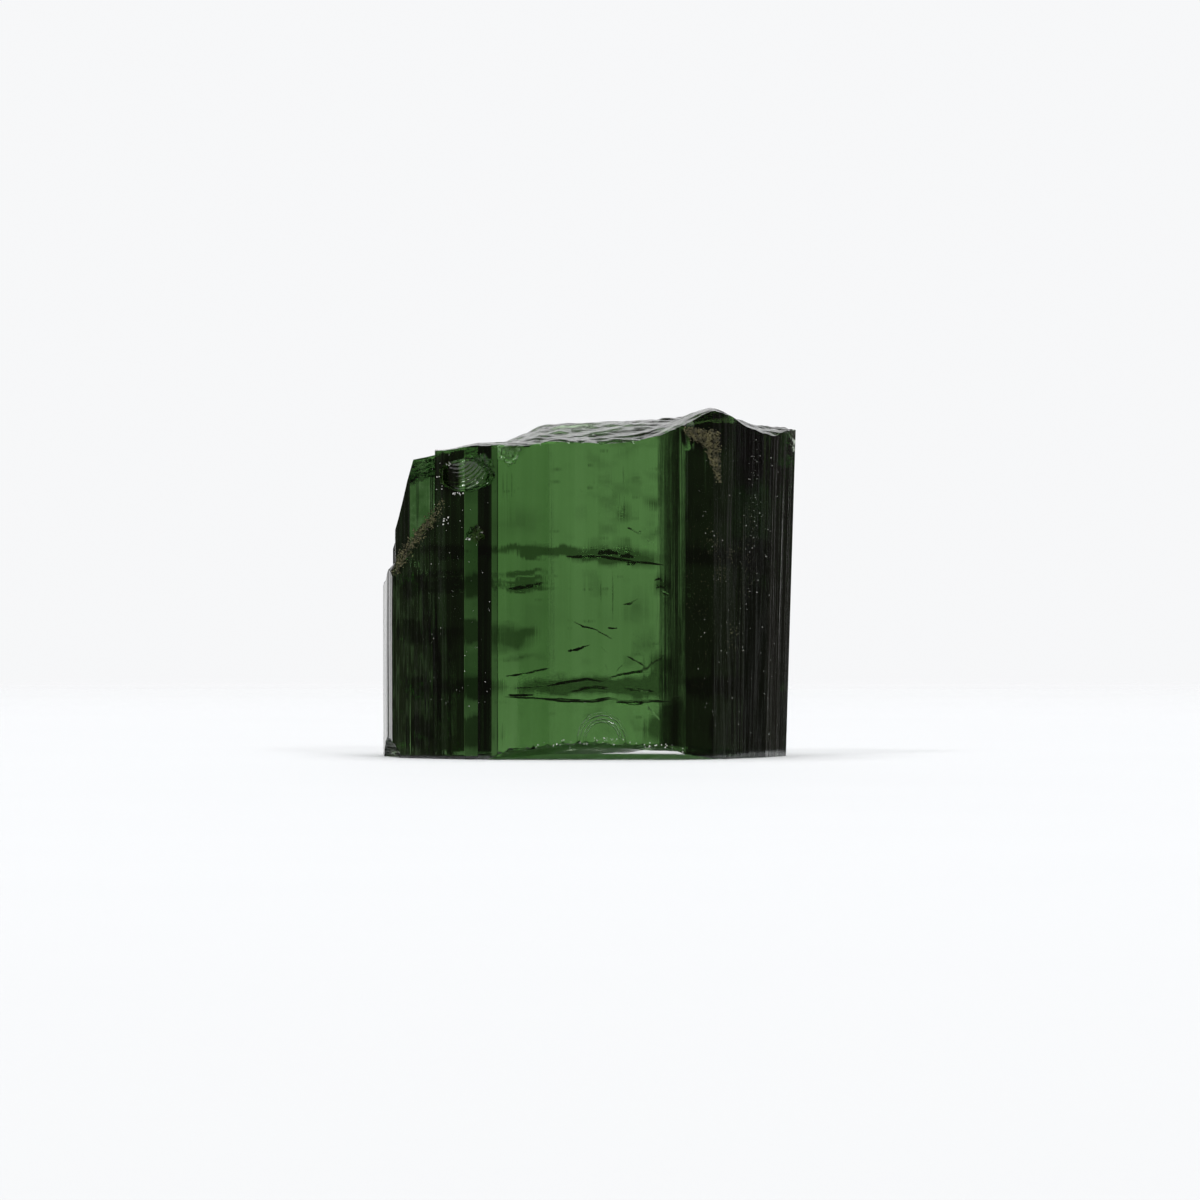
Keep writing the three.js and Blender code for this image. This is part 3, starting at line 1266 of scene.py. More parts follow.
class Nodes:
    """Adds and links the nodes of one tree."""

    def __init__(self, tree: bpy.types.NodeTree) -> None:
        """Keeps the tree and empties it.

        Args:
            tree: Tree to fill.
        """
        self.tree = tree
        tree.nodes.clear()

    def add(
        self, kind: str, inputs: dict[str | int, object] | None = None, **settings: object
    ) -> bpy.types.Node:
        """Adds a node.

        Args:
            kind: The node's type name.
            inputs: Values or sockets for its inputs, by name or place.
            settings: The node's own properties.

        Returns:
            The new node.
        """
        node = self.tree.nodes.new(kind)
        for key, value in settings.items():
            setattr(node, key, value)
        for key, value in (inputs or {}).items():
            if isinstance(value, Socket):
                self.tree.links.new(value, node.inputs[key])
            else:
                node.inputs[key].default_value = value
        return node

    def math(self, operation: str, a: Value, b: Value = 0.0, c: Value = 0.0) -> Socket:
        """Returns the result of a sum on values or sockets."""
        return self.add("ShaderNodeMath", {0: a, 1: b, 2: c}, operation=operation).outputs[0]

    def times(self, *factors: Value) -> Socket:
        """Multiplies values or sockets.

        Args:
            factors: What is multiplied.

        Returns:
            The product.
        """
        total = factors[0]
        for factor in factors[1:]:
            total = self.math("MULTIPLY", total, factor)
        return total

    def ramp(
        self, value: Value, low: float, high: float, to_low: float = 0.0, to_high: float = 1.0
    ) -> Socket:
        """Maps a value smoothly from one range to another.

        Args:
            value: The value.
            low: Where its range starts.
            high: Where its range ends.
            to_low: What the start becomes.
            to_high: What the end becomes.

        Returns:
            The mapped value.
        """
        inputs = {"Value": value, "From Min": low, "From Max": high, "To Min": to_low, "To Max": to_high}
        return self.add("ShaderNodeMapRange", inputs, interpolation_type="SMOOTHSTEP").outputs[0]

    def between(self, value: Socket, low: float, high: float, soft: float) -> Socket:
        """Tells where a value lies between two others.

        Args:
            value: The value.
            low: The lower bound.
            high: The upper bound.
            soft: Half the width of each edge.

        Returns:
            1 between the bounds and 0 beyond them.
        """
        over = self.ramp(value, low - soft, low + soft)
        return self.times(over, self.ramp(value, high - soft, high + soft, 1.0, 0.0))

    def blend(self, share: Value, a: Colour | Socket, b: Colour | Socket) -> Socket:
        """Returns colour a turned into colour b by a share."""
        return self.add("ShaderNodeMix", {0: share, 6: a, 7: b}, data_type="RGBA").outputs[2]

    def scaled(self, vector: Socket, scale: Place, shift: Place | Socket = (0.0, 0.0, 0.0)) -> Socket:
        """Returns a vector scaled along each axis and then shifted."""
        inputs = {0: vector, 1: scale, 2: shift}
        return self.add("ShaderNodeVectorMath", inputs, operation="MULTIPLY_ADD").outputs[0]

    def noise(self, vector: Socket, scale: Value, detail: float) -> bpy.types.Node:
        """Returns a noise node over a vector."""
        return self.add("ShaderNodeTexNoise", {"Vector": vector, "Scale": scale, "Detail": detail})


class Mottle:
    """The node group of fine grain and broad cloud that every finish takes its unevenness from."""

    def __init__(self) -> None:
        """Builds the group."""
        self.tree = bpy.data.node_groups.new("mottle", "ShaderNodeTree")
        nodes = Nodes(self.tree)
        sockets = self.tree.interface
        sockets.new_socket("Place", in_out="INPUT", socket_type="NodeSocketVector")
        sockets.new_socket("Per Metre", in_out="INPUT", socket_type="NodeSocketFloat")
        sockets.new_socket("Grain", in_out="OUTPUT", socket_type="NodeSocketFloat")
        sockets.new_socket("Cloud", in_out="OUTPUT", socket_type="NodeSocketFloat")
        given = nodes.add("NodeGroupInput")
        place, scale = given.outputs["Place"], given.outputs["Per Metre"]
        fine = nodes.noise(place, scale, 4.0)
        fine.inputs["Roughness"].default_value = 0.6
        cloud = nodes.noise(place, nodes.math("MULTIPLY", scale, 0.15), 3.0)
        nodes.add("NodeGroupOutput", {"Grain": fine.outputs[0], "Cloud": cloud.outputs[0]})

    def place(self, nodes: Nodes, where: Socket, per_metre: float) -> bpy.types.Node:
        """Places the group in a material.

        Args:
            nodes: The material's nodes.
            where: Coordinates in metres.
            per_metre: Grains in a metre.

        Returns:
            The group's node.
        """
        return nodes.add("ShaderNodeGroup", {"Place": where, "Per Metre": per_metre}, node_tree=self.tree)


def new_material(name: str) -> tuple[bpy.types.Material, Nodes, Socket]:
    """Makes an empty material.

    Args:
        name: The material's name.

    Returns:
        The material, its nodes, and the object's coordinates in metres.
    """
    made = bpy.data.materials.new(name)
    made.use_nodes = True
    nodes = Nodes(made.node_tree)
    return made, nodes, nodes.add("ShaderNodeTexCoord").outputs["Object"]


@dataclass(frozen=True)
class DarkPatch:
    """A dark patch in the crystal's colour: its middle, half sizes over x and z, and how dark it is."""

    x: float
    z: float
    half_x: float
    half_z: float
    dark: float


@dataclass(frozen=True)
class Spot:
    """Where a shaded point lies, as the sockets of one material."""

    where: Socket
    x: Socket
    y: Socket
    z: Socket


@dataclass(frozen=True)
class CrystalFinish:
    """Clear green tourmaline: glossy striated faces, duller breaks, painted shade and dark patches, stain,
    colour from absorption.
    """

    ior: float = 1.63
    density: float = 287.0
    clear: Colour = (0.267, 0.517, 0.15, 1.0)
    faint: Colour = (0.86, 0.9, 0.84, 1.0)
    # Dark colour for the back faces: painted shade behind the cracks and treads, and darker patches.
    back_dark: Colour = (0.05, 0.065, 0.04, 1.0)
    # Near-black painted shade for the growth terraces beside the front face.
    tread_shade: Colour = (0.03, 0.05, 0.027, 1.0)
    stain: Colour = (0.12, 0.2, 0.1, 1.0)
    brown: Colour = (0.05, 0.036, 0.02, 1.0)
    face_roughness: float = 0.025
    break_roughness: float = 0.14
    dull: float = 0.05
    relief: float = 0.004 * MM
    grain_per_metre: float = 9000.0
    wisps_per_metre: float = 7000.0
    tread_per_metre: float = 2600.0
    specks_per_metre: float = 1300.0
    lanes: Place = (1.0, 1.0, 0.012)
    striae_per_metre: float = 14000.0
    bands_per_metre: float = 2200.0
    bend: float = 1.2 * MM
    bends_per_metre: float = 900.0
    most_dark: float = 0.97
    inside_x: Point = (-4.1 * MM, 4.2 * MM)
    inside_z: Point = (1.6 * MM, 13.2 * MM)
    back_y: Point = (3.0 * MM, 4.5 * MM)
    front_y: Point = (-4.0 * MM, -3.0 * MM)
    veined_x: Point = (-2.0 * MM, 1.0 * MM)
    tread_x: Point = (-5.69 * MM, -4.17 * MM)
    tread_y: Point = (-5.1 * MM, -4.9 * MM)
    riser_x: Point = (-4.55 * MM, -4.45 * MM)
    ledge_x: Point = (-6.9 * MM, -6.5 * MM)
    ledge_z: Point = (7.2 * MM, 12.6 * MM)
    wall_x: Point = (-7.05 * MM, -6.85 * MM)
    slope_x: float = -8.92 * MM
    slope_z: float = 8.2 * MM
    slope: float = 1.36
    slope_soft: float = 0.3 * MM
    # Dark patches painted on the back faces: painted shade in rows behind the cracks and behind the treads
    # at the left, and broader darker patches over the left and middle.
    dark_back_patches: tuple[DarkPatch, ...] = (
        DarkPatch(-3.0, 7.0, 2.2, 9.0, 0.35),
        DarkPatch(-3.1, 8.5, 1.3, 0.22, 1.5),
        DarkPatch(-3.0, 8.1, 1.4, 0.16, 1.3),
        DarkPatch(-3.0, 7.8, 1.5, 0.2, 1.4),
        DarkPatch(-3.6, 5.5, 1.3, 0.75, 1.0),
        DarkPatch(-5.1, 8.0, 1.0, 0.8, 2.4),
        DarkPatch(-5.1, 5.8, 1.0, 0.7, 2.2),
        DarkPatch(-5.1, 3.1, 1.0, 0.7, 2.2),
        DarkPatch(-5.1, 1.0, 1.0, 1.0, 2.2),
        DarkPatch(1.0, 6.2, 6.0, 4.0, 0.22),
        DarkPatch(-3.2, 9.68, 1.3, 0.24, 1.5),
        DarkPatch(-2.1, 9.45, 1.2, 0.24, 1.6),
        DarkPatch(-0.9, 9.35, 1.3, 0.4, 1.7),
        DarkPatch(1.0, 9.45, 1.5, 0.7, 1.6),
        DarkPatch(2.6, 9.15, 1.4, 0.5, 1.3),
        DarkPatch(-3.6, 10.8, 2.2, 1.2, 0.3),
        DarkPatch(1.7, 11.25, 0.5, 0.6, 1.0),
        DarkPatch(1.2, 12.2, 0.35, 0.8, 0.5),
        DarkPatch(2.95, 11.9, 0.6, 0.5, 1.0),
        DarkPatch(-2.2, 3.2, 1.6, 0.4, 1.3),
        DarkPatch(0.0, 3.35, 2.2, 0.7, 2.0),
        DarkPatch(2.4, 3.2, 1.8, 0.75, 2.1),
        DarkPatch(3.3, 4.1, 1.0, 0.9, 1.5),
        DarkPatch(3.4, 8.0, 0.7, 0.7, 1.0),
        DarkPatch(2.2, 6.9, 0.7, 1.2, 0.35),
        DarkPatch(3.9, 1.4, 1.6, 1.5, 2.2),
        DarkPatch(2.7, 5.2, 0.9, 0.9, 0.5),
        DarkPatch(-3.2, 4.6, 1.2, 0.25, 0.4),
    )
    # Brown patches painted over the chips: painted shade in the chips on the left, and brown stain on the
    # chipped corner at the upper right.
    chip_shade_and_stain: tuple[DarkPatch, ...] = (
        DarkPatch(-5.03, 10.3, 0.5, 0.5, 2.0),
        DarkPatch(-3.5, 14.3, 0.7, 0.7, 1.0),
        DarkPatch(-6.5, 13.0, 1.4, 1.3, 1.5),
        DarkPatch(-5.0, 13.1, 1.0, 1.1, 0.3),
        DarkPatch(5.4, 15.1, 1.6, 1.3, 2.5),
    )

    def clouded(self, nodes: Nodes, where: Socket, patches: tuple[DarkPatch, ...], cloud: Socket) -> Socket:
        """Gives how dark a set of patches is.

        Args:
            nodes: The material's nodes.
            where: Coordinates in metres.
            patches: The patches.
            cloud: Unevenness from 0 to 1.

        Returns:
            The darkness, from 0 to 1.
        """
        total = 0.0
        for patch in patches:
            scale = (1 / (patch.half_x * MM), 0.0, 1 / (patch.half_z * MM))
            middle = (-patch.x / patch.half_x, 0.0, -patch.z / patch.half_z)
            off = nodes.scaled(where, scale, middle)
            near = nodes.add("ShaderNodeTexGradient", {"Vector": off}, gradient_type="SPHERICAL")
            total = nodes.math("MULTIPLY_ADD", near.outputs["Fac"], 1.4 * patch.dark, total)
        uneven = nodes.times(total, nodes.ramp(cloud, 0.3, 0.65, 0.7, 1.0))
        return nodes.math("MINIMUM", uneven, self.most_dark)

    def specks(self, nodes: Nodes, spot: Spot) -> Socket:
        """Gives where small dark specks lie, a few to a square millimetre at most.

        Args:
            nodes: The material's nodes.
            spot: Where the point lies.

        Returns:
            The darkness, from 0 to 1.
        """
        flat = nodes.add("ShaderNodeCombineXYZ", {"X": spot.x, "Y": spot.z}).outputs[0]
        inputs = {"Vector": flat, "Scale": self.specks_per_metre}
        cells = nodes.add("ShaderNodeTexVoronoi", inputs, voronoi_dimensions="2D")
        chance = nodes.add("ShaderNodeSeparateXYZ", {0: cells.outputs["Color"]}).outputs["X"]
        speck = nodes.ramp(cells.outputs["Distance"], 0.04, 0.18, 1.0, 0.0)
        return nodes.times(speck, nodes.ramp(chance, 0.6, 0.95, 0.0, 0.85))

    def broken(self, nodes: Nodes, spot: Spot) -> Socket:
        """Gives where the surface is a break, and not a face or the wall of a crack inside.

        Args:
            nodes: The material's nodes.
            spot: Where the point lies.

        Returns:
            1 on a break and 0 elsewhere.
        """
        true_normal = nodes.add("ShaderNodeNewGeometry").outputs["True Normal"]
        upright = nodes.add("ShaderNodeSeparateXYZ", {0: true_normal}).outputs["Z"]
        level = nodes.ramp(nodes.math("ABSOLUTE", upright), 0.1, 0.35)
        across = nodes.between(spot.x, *self.inside_x, 0.1 * MM)
        inside = nodes.times(across, nodes.between(spot.z, *self.inside_z, 0.1 * MM))
        return nodes.times(level, nodes.math("SUBTRACT", 1.0, inside))

    def darkened_back(self, nodes: Nodes, spot: Spot, cloud: Socket) -> Socket:
        """Gives the dark patches and painted shade on the faces at the crystal's back.

        Args:
            nodes: The material's nodes.
            spot: Where the point lies.
            cloud: Unevenness from 0 to 1.

        Returns:
            The darkness, from 0 to 1.
        """
        bends = nodes.noise(spot.where, self.bends_per_metre, 2.0).outputs["Color"]
        bent = nodes.scaled(bends, (self.bend,) * 3, spot.where)
        bent = nodes.scaled(bent, (1.0,) * 3, (-self.bend / 2,) * 3)
        dark_back_patches = self.clouded(nodes, bent, self.dark_back_patches, cloud)
        dark_back_patches = nodes.math("MAXIMUM", dark_back_patches, self.specks(nodes, spot))
        veined = nodes.times(nodes.ramp(cloud, 0.46, 0.72, 0.0, 0.6), nodes.ramp(spot.x, *self.veined_x))
        return nodes.times(nodes.math("MAXIMUM", dark_back_patches, veined), nodes.ramp(spot.y, *self.back_y))

    def shaded_treads(self, nodes: Nodes, spot: Spot, cloud: Socket) -> Socket:
        """Gives where shade is painted on the growth terraces beside the front face.

        Args:
            nodes: The material's nodes.
            spot: Where the point lies.
            cloud: Unevenness from 0 to 1.

        Returns:
            The darkness, from 0 to 1.
        """
        return nodes.times(
            nodes.between(spot.x, *self.tread_x, 0.02 * MM),
            nodes.ramp(spot.y, *self.tread_y, 1.0, 0.0),
            nodes.ramp(cloud, 0.35, 0.6, 0.9, 0.99),
            nodes.ramp(spot.x, *self.riser_x, 1.0, 0.85),
        )

    def stained(self, nodes: Nodes, spot: Spot, cloud: Socket) -> Socket:
        """Gives where iron has stained the wall above the ledge.

        Args:
            nodes: The material's nodes.
            spot: Where the point lies.
            cloud: Unevenness from 0 to 1.

        Returns:
            The stain, from 0 to 1.
        """
        beside = nodes.ramp(spot.x, *self.wall_x, 1.0, 0.0)
        out = nodes.math("SUBTRACT", spot.x, self.slope_x)
        level = nodes.math("MULTIPLY_ADD", out, self.slope, self.slope_z)
        over = nodes.ramp(nodes.math("SUBTRACT", spot.z, level), -self.slope_soft, self.slope_soft)
        return nodes.times(beside, over, nodes.ramp(cloud, 0.3, 0.6, 0.7, 1.0))

    def material(self, mottle: Mottle) -> bpy.types.Material:
        """Makes the crystal's material.

        Args:
            mottle: The group of grain and cloud.

        Returns:
            The material.
        """
        made, nodes, where = new_material("green_tourmaline")
        xyz = nodes.add("ShaderNodeSeparateXYZ", {0: where})
        spot = Spot(where, xyz.outputs["X"], xyz.outputs["Y"], xyz.outputs["Z"])
        uneven = mottle.place(nodes, where, self.grain_per_metre)
        cloud = uneven.outputs["Cloud"]
        wisps = mottle.place(nodes, where, self.wisps_per_metre).outputs["Cloud"]
        broad = mottle.place(nodes, where, self.tread_per_metre).outputs["Cloud"]
        lanes = nodes.scaled(where, self.lanes)
        striae = nodes.noise(lanes, self.striae_per_metre, 3.0).outputs[0]
        bands = nodes.noise(lanes, self.bands_per_metre, 3.0).outputs[0]
        broken = self.broken(nodes, spot)
        whole = nodes.math("SUBTRACT", 1.0, broken)
        # Painted shade in the chips on the left and brown stain at the upper right, on the front only.
        chip_shade_and_stain = self.clouded(nodes, where, self.chip_shade_and_stain, wisps)
        chip_shade_and_stain = nodes.times(chip_shade_and_stain, nodes.ramp(spot.y, *self.front_y, 1.0, 0.0))
        ledge = nodes.times(broken, nodes.ramp(spot.x, *self.ledge_x, 1.0, 0.0))
        ledge = nodes.times(ledge, nodes.between(spot.z, *self.ledge_z, 0.3 * MM))
        colour = nodes.blend(nodes.ramp(bands, 0.35, 0.65), self.faint, WHITE)
        # Painted shade and dark patches on the back faces.
        colour = nodes.blend(self.darkened_back(nodes, spot, wisps), colour, self.back_dark)
        # Painted shade on the terraces beside the front face.
        colour = nodes.blend(self.shaded_treads(nodes, spot, broad), colour, self.tread_shade)
        colour = nodes.blend(self.stained(nodes, spot, cloud), colour, self.stain)
        colour = nodes.blend(chip_shade_and_stain, colour, self.brown)
        colour = nodes.blend(ledge, colour, self.brown)
        gloss = nodes.ramp(broken, 0.0, 1.0, self.face_roughness, self.break_roughness)
        dull = nodes.times(nodes.ramp(cloud, 0.45, 0.7, 0.0, self.dull), broken)
        rough = nodes.times(broken, 2.0)
        height = nodes.math("MULTIPLY_ADD", rough, uneven.outputs["Grain"], nodes.times(striae, whole))
        bump = nodes.add("ShaderNodeBump", {"Strength": 1.0, "Distance": self.relief, "Height": height})
        shader = nodes.add(
            "ShaderNodeBsdfPrincipled",
            {
                "Base Color": colour,
                "Roughness": nodes.math("ADD", gloss, dull),
                "IOR": self.ior,
                "Transmission Weight": 1.0,
                "Normal": bump.outputs[0],
            },
        )
        volume = nodes.add("ShaderNodeVolumeAbsorption", {"Color": self.clear, "Density": self.density})
        nodes.add("ShaderNodeOutputMaterial", {"Surface": shader.outputs[0], "Volume": volume.outputs[0]})
        return made


@dataclass(frozen=True)
class GrainFinish:
    """Matt grains whose colour runs between two tones."""

    name: str
    dark: Colour
    pale: Colour
    roughness: float = 0.6
    spread: float = 0.2
    relief: float = 0.006 * MM
    per_metre: float = 30000.0

    def material(self, mottle: Mottle) -> bpy.types.Material:
        """Makes the grains' material.

        Args:
            mottle: The group of grain and cloud.

        Returns:
            The material.
        """
        made, nodes, where = new_material(self.name)
        uneven = mottle.place(nodes, where, self.per_metre)
        grain, cloud = uneven.outputs["Grain"], uneven.outputs["Cloud"]
        colour = nodes.blend(nodes.ramp(cloud, 0.35, 0.65), self.dark, self.pale)
        dull = nodes.ramp(grain, 0.3, 0.7, self.roughness - self.spread, self.roughness + self.spread)
        bump = nodes.add("ShaderNodeBump", {"Distance": self.relief, "Height": grain}).outputs[0]
        inputs = {"Base Color": colour, "Roughness": dull, "Normal": bump}
        shader = nodes.add("ShaderNodeBsdfPrincipled", inputs)
        nodes.add("ShaderNodeOutputMaterial", {"Surface": shader.outputs[0]})
        return made


@dataclass(frozen=True)
class FloorFinish:
    """Matt pale floor, whole to the eye, that the crystal's own reflections lose sight of further out."""

    pale: Colour = (0.86, 0.87, 0.88, 1.0)
    worn: Colour = (0.845, 0.855, 0.865, 1.0)
    roughness: float = 0.8
    per_metre: float = 400.0
    fade: Point = (0.0095, 0.016)
    end: Point = (0.10, 0.30)

    def material(self, mottle: Mottle) -> bpy.types.Material:
        """Makes the floor's material.

        Args:
            mottle: The group of grain and cloud.

        Returns:
            The material.
        """
        made, nodes, where = new_material("pale_floor")
        cloud = mottle.place(nodes, where, self.per_metre).outputs["Cloud"]
        colour = nodes.blend(cloud, self.pale, self.worn)
        reach = nodes.add("ShaderNodeVectorMath", {0: where}, operation="LENGTH").outputs["Value"]
        near = nodes.ramp(reach, *self.fade, 1.0, 0.0)
        seen = nodes.add("ShaderNodeLightPath").outputs["Is Camera Ray"]
        whole = nodes.times(seen, nodes.ramp(reach, *self.end, 1.0, 0.0))
        alpha = nodes.math("MAXIMUM", near, whole)
        inputs = {"Base Color": colour, "Roughness": self.roughness, "Alpha": alpha}
        shader = nodes.add("ShaderNodeBsdfPrincipled", inputs)
        nodes.add("ShaderNodeOutputMaterial", {"Surface": shader.outputs[0]})
        return made


@dataclass(frozen=True)
class Lamp:
    """A soft lamp in the studio's sky: where it is, how wide, and how bright."""

    turn_deg: float
    rise_deg: float
    half_deg: float
    strength: float

    def light(self, nodes: Nodes, way: Socket) -> Socket:
        """Gives the lamp's strength over the sky.

        Args:
            nodes: The sky's nodes.
            way: The way that is looked.

        Returns:
            The strength.
        """
        turn, rise = math.radians(self.turn_deg), math.radians(self.rise_deg)
        aim = (math.sin(turn) * math.cos(rise), -math.cos(turn) * math.cos(rise), math.sin(rise))
        facing = nodes.add("ShaderNodeVectorMath", {0: way, 1: aim}, operation="DOT_PRODUCT")
        rim, core = (math.cos(math.radians(self.half_deg * share)) for share in (1.15, 0.85))
        return nodes.ramp(facing.outputs["Value"], rim, core, 0.0, self.strength)


@dataclass(frozen=True)
class Strip:
    """An upright strip light beside the crystal: where it is, how wide, how bright and how tall."""

    turn_deg: float
    half_deg: float
    strength: float
    low_deg: float = -12.0
    high_deg: float = 30.0
    soft: float = 0.1

    def light(self, nodes: Nodes, around: Socket, rise: Socket) -> Socket:
        """Gives the strip's strength over the sky.

        Args:
            nodes: The sky's nodes.
            around: How far round from the back, in radians.
            rise: How far up, in radians.

        Returns:
            The strength.
        """
        off = nodes.math("ABSOLUTE", nodes.math("SUBTRACT", around, math.radians(self.turn_deg)))
        half = math.radians(self.half_deg)
        across = nodes.ramp(off, 0.6 * half, 1.4 * half, 1.0, 0.0)
        low, high = math.radians(self.low_deg), math.radians(self.high_deg)
        over = nodes.ramp(rise, low - self.soft, low + self.soft, 0.0, self.strength)
        under = nodes.ramp(rise, high - self.soft, high + self.soft, 1.0, 0.0)
        return nodes.times(across, nodes.times(over, under))


@dataclass
class Studio:
    """The pale floor, the soft light round it and the camera."""

    photo_pixels: float = 1200.0
    pixels_per_mm: float = 22.0
    floor_pixel: float = 760.0
    centre_pixel: float = 586.5
    distance: float = 0.300
    front: float = -6.5 * MM
    sensor: float = 36.0
    floor_radius: float = 0.32
    floor_sides: int = 96
    backdrop: Colour = (0.93, 0.935, 0.945, 1.0)
    dim: Colour = (0.043, 0.039, 0.035, 1.0)
    panel_deg: Point = (17.0, 26.0)
    panel_top_deg: Point = (24.0, 28.0)
    overhead_deg: Point = (60.0, 66.0)
    overhead: float = 4.6
    ground_deg: Point = (-13.0, -6.0)
    ground: float = 0.9
    bounces: int = 24
    glossy_bounces: int = 16
    lamps: tuple[Lamp, ...] = (Lamp(-38.0, 48.0, 5.0, 24.0), Lamp(28.0, 40.0, 5.0, 20.0))
    strips: tuple[Strip, ...] = (
        Strip(34.0, 1.2, 0.15),
        Strip(64.0, 2.5, 0.16),
        Strip(81.0, 2.5, 0.14),
        Strip(118.0, 3.0, 0.14),
        Strip(-66.0, 1.5, 0.1),
        Strip(-84.0, 1.5, 0.1),
    )

    def floor(self, mottle: Mottle) -> None:
        """Lays the floor, a disc.

        Args:
            mottle: The group of grain and cloud.
        """
        mesh = bpy.data.meshes.new("floor")
        shape = bmesh.new()
        bmesh.ops.create_circle(shape, cap_ends=True, segments=self.floor_sides, radius=self.floor_radius)
        shape.to_mesh(mesh)
        shape.free()
        made = bpy.data.objects.new("floor", mesh)
        bpy.context.scene.collection.objects.link(made)
        mesh.materials.append(FloorFinish().material(mottle))

    def glow(self, nodes: Nodes) -> Socket:
        """Gives the light over the sky: a panel behind, a softer one overhead, lamps, strips and ground.

        Args:
            nodes: The sky's nodes.

        Returns:
            The strength.
        """
        way = nodes.add("ShaderNodeTexCoord").outputs["Generated"]
        xyz = nodes.add("ShaderNodeSeparateXYZ", {0: way})
        around = nodes.math("ARCTAN2", xyz.outputs["X"], xyz.outputs["Y"])
        turn = nodes.math("ABSOLUTE", around)
        rise = nodes.math("ARCSINE", xyz.outputs["Z"])
        beside = nodes.ramp(turn, *map(math.radians, self.panel_deg), 1.0, 0.0)
        below = nodes.ramp(rise, *map(math.radians, self.panel_top_deg), 1.0, 0.0)
        overhead = nodes.ramp(rise, *map(math.radians, self.overhead_deg), 0.0, self.overhead)
        strength = nodes.math("MULTIPLY_ADD", beside, below, overhead)
        for lamp in self.lamps:
            strength = nodes.math("ADD", strength, lamp.light(nodes, way))
        for strip in self.strips:
            strength = nodes.math("ADD", strength, strip.light(nodes, around, rise))
        ground = nodes.ramp(rise, *map(math.radians, self.ground_deg), self.ground, 0.0)
        return nodes.math("ADD", strength, ground)

    def light(self) -> None:
        """Sets the soft light, and an even backdrop for the camera."""
        world = bpy.data.worlds.new("studio")
        bpy.context.scene.world = world
        world.use_nodes = True
        nodes = Nodes(world.node_tree)
        inputs = {"Color": self.backdrop, "Strength": self.glow(nodes)}
        bright = nodes.add("ShaderNodeBackground", inputs).outputs[0]
        dim = nodes.add("ShaderNodeBackground", {"Color": self.dim, "Strength": 1.0}).outputs[0]
        total = nodes.add("ShaderNodeAddShader", {0: bright, 1: dim}).outputs[0]
        seen = nodes.add("ShaderNodeBackground", {"Color": self.backdrop, "Strength": 1.0}).outputs[0]
        path = nodes.add("ShaderNodeLightPath").outputs["Is Camera Ray"]
        mixed = nodes.add("ShaderNodeMixShader", {0: path, 1: total, 2: seen}).outputs[0]
        nodes.add("ShaderNodeOutputWorld", {"Surface": mixed})

    def camera(self, centre_x: float) -> None:
        """Sets the camera level with the middle of the crystal, as the photograph has it.

        Args:
            centre_x: Where the outline's middle lies, in metres.
        """
        data = bpy.data.cameras.new("camera")
        made = bpy.data.objects.new("camera", data)
        bpy.context.scene.collection.objects.link(made)
        middle = self.photo_pixels / 2
        pixel = MM / self.pixels_per_mm
        made.location = (
            centre_x + (middle - self.centre_pixel) * pixel,
            -self.distance,
            (self.floor_pixel - middle) * pixel,
        )
        made.rotation_euler = (math.radians(90), 0, 0)
        data.sensor_width = self.sensor
        data.lens = self.sensor * (self.distance + self.front) / (self.photo_pixels * pixel)
        data.clip_start = 0.01
        data.clip_end = 10.0
        bpy.context.scene.camera = made

    def build(self, centre_x: float, mottle: Mottle) -> None:
        """Builds the floor, light and camera, and says how far light is followed.

        Args:
            centre_x: Where the outline's middle lies, in metres.
            mottle: The group of grain and cloud.
        """
        self.floor(mottle)
        self.light()
        self.camera(centre_x)
        scene = bpy.context.scene
        scene.view_settings.view_transform = "Standard"
        scene.cycles.max_bounces = self.bounces
        scene.cycles.transmission_bounces = self.bounces
        scene.cycles.glossy_bounces = self.glossy_bounces


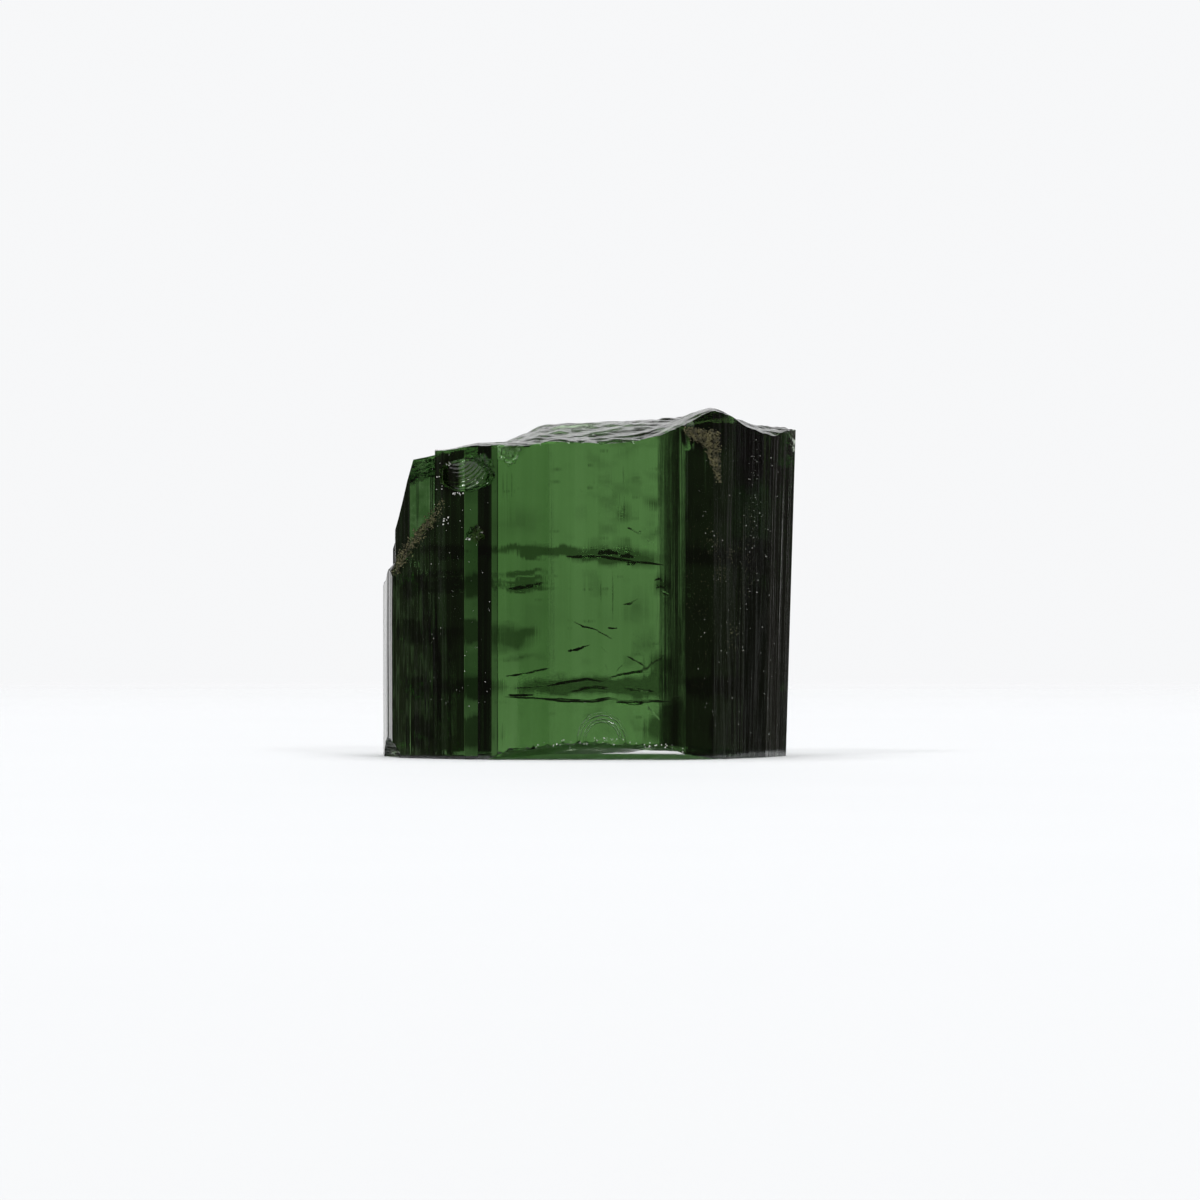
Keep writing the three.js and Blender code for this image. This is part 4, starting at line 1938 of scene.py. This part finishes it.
@dataclass
class Tourmaline:
    """The whole crystal: its body with its inclusions, the stain that lies on it, and pale specks and
    painted glints.
    """

    body: CrystalBody = field(default_factory=CrystalBody)
    inclusions: Inclusions = field(default_factory=Inclusions)
    stain: Grains = field(default_factory=IronStain)
    dust_and_glints: Grains = field(default_factory=DustAndGlints)
    finish: CrystalFinish = CrystalFinish()
    rust: GrainFinish = GrainFinish("iron_stain", (0.055, 0.052, 0.023, 1.0), (0.17, 0.155, 0.067, 1.0))
    # Pale grains: specks, and painted glints along the lower edge and round the chips.
    pale: GrainFinish = GrainFinish("pale_dust", (0.8, 0.8, 0.78, 1.0), (0.95, 0.95, 0.93, 1.0))
    sharp_deg: float = 25.0

    def fill(self, crystal: bpy.types.Object) -> None:
        """Adds the inclusions to the crystal's mesh.

        Args:
            crystal: The crystal, in millimetres.
        """
        hollows = self.inclusions.build().to_object("hollows")
        mesh = bmesh.new()
        mesh.from_mesh(crystal.data)
        mesh.from_mesh(hollows.data)
        mesh.to_mesh(crystal.data)
        mesh.free()
        drop(hollows)
        crystal.data.shade_smooth()
        crystal.data.set_sharp_from_angle(angle=math.radians(self.sharp_deg))

    def dress(self, piece: bpy.types.Object, shift: Vector, material: bpy.types.Material) -> None:
        """Brings a piece into the frame, gives it its material and lets it ride.

        Args:
            piece: The piece, in millimetres.
            shift: How far it moves, in millimetres.
            material: Its material.
        """
        piece.data.transform(Matrix.Scale(MM, 4) @ Matrix.Translation(shift))
        piece.data.materials.clear()
        piece.data.materials.append(material)
        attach(piece, BODY)
        log.info("%s: %d faces", piece.name, len(piece.data.polygons))

    def build(self, mottle: Mottle) -> Vector:
        """Builds and dresses every piece.

        Args:
            mottle: The group of grain and cloud.

        Returns:
            How far the crystal moved into the frame, in millimetres.
        """
        crystal = self.body.build()
        points = np.array([v.co for v in crystal.data.vertices])
        centre = (points.min(axis=0) + points.max(axis=0)) / 2
        shift = Vector((-centre[0], -centre[1], 0.0))
        surface = BVHTree.FromObject(crystal, bpy.context.evaluated_depsgraph_get())
        stain = self.stain.build(surface)
        dust_and_glints = self.dust_and_glints.build(surface)
        self.fill(crystal)
        self.dress(crystal, shift, self.finish.material(mottle))
        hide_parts(NODE)
        self.dress(stain, shift, self.rust.material(mottle))
        self.dress(dust_and_glints, shift, self.pale.material(mottle))
        return shift


def main() -> None:
    """Builds the crystal and its studio, and reports each piece."""
    mottle = Mottle()
    shift = Tourmaline().build(mottle)
    Studio().build(shift.x * MM, mottle)


if __name__ == "__main__":
    main()
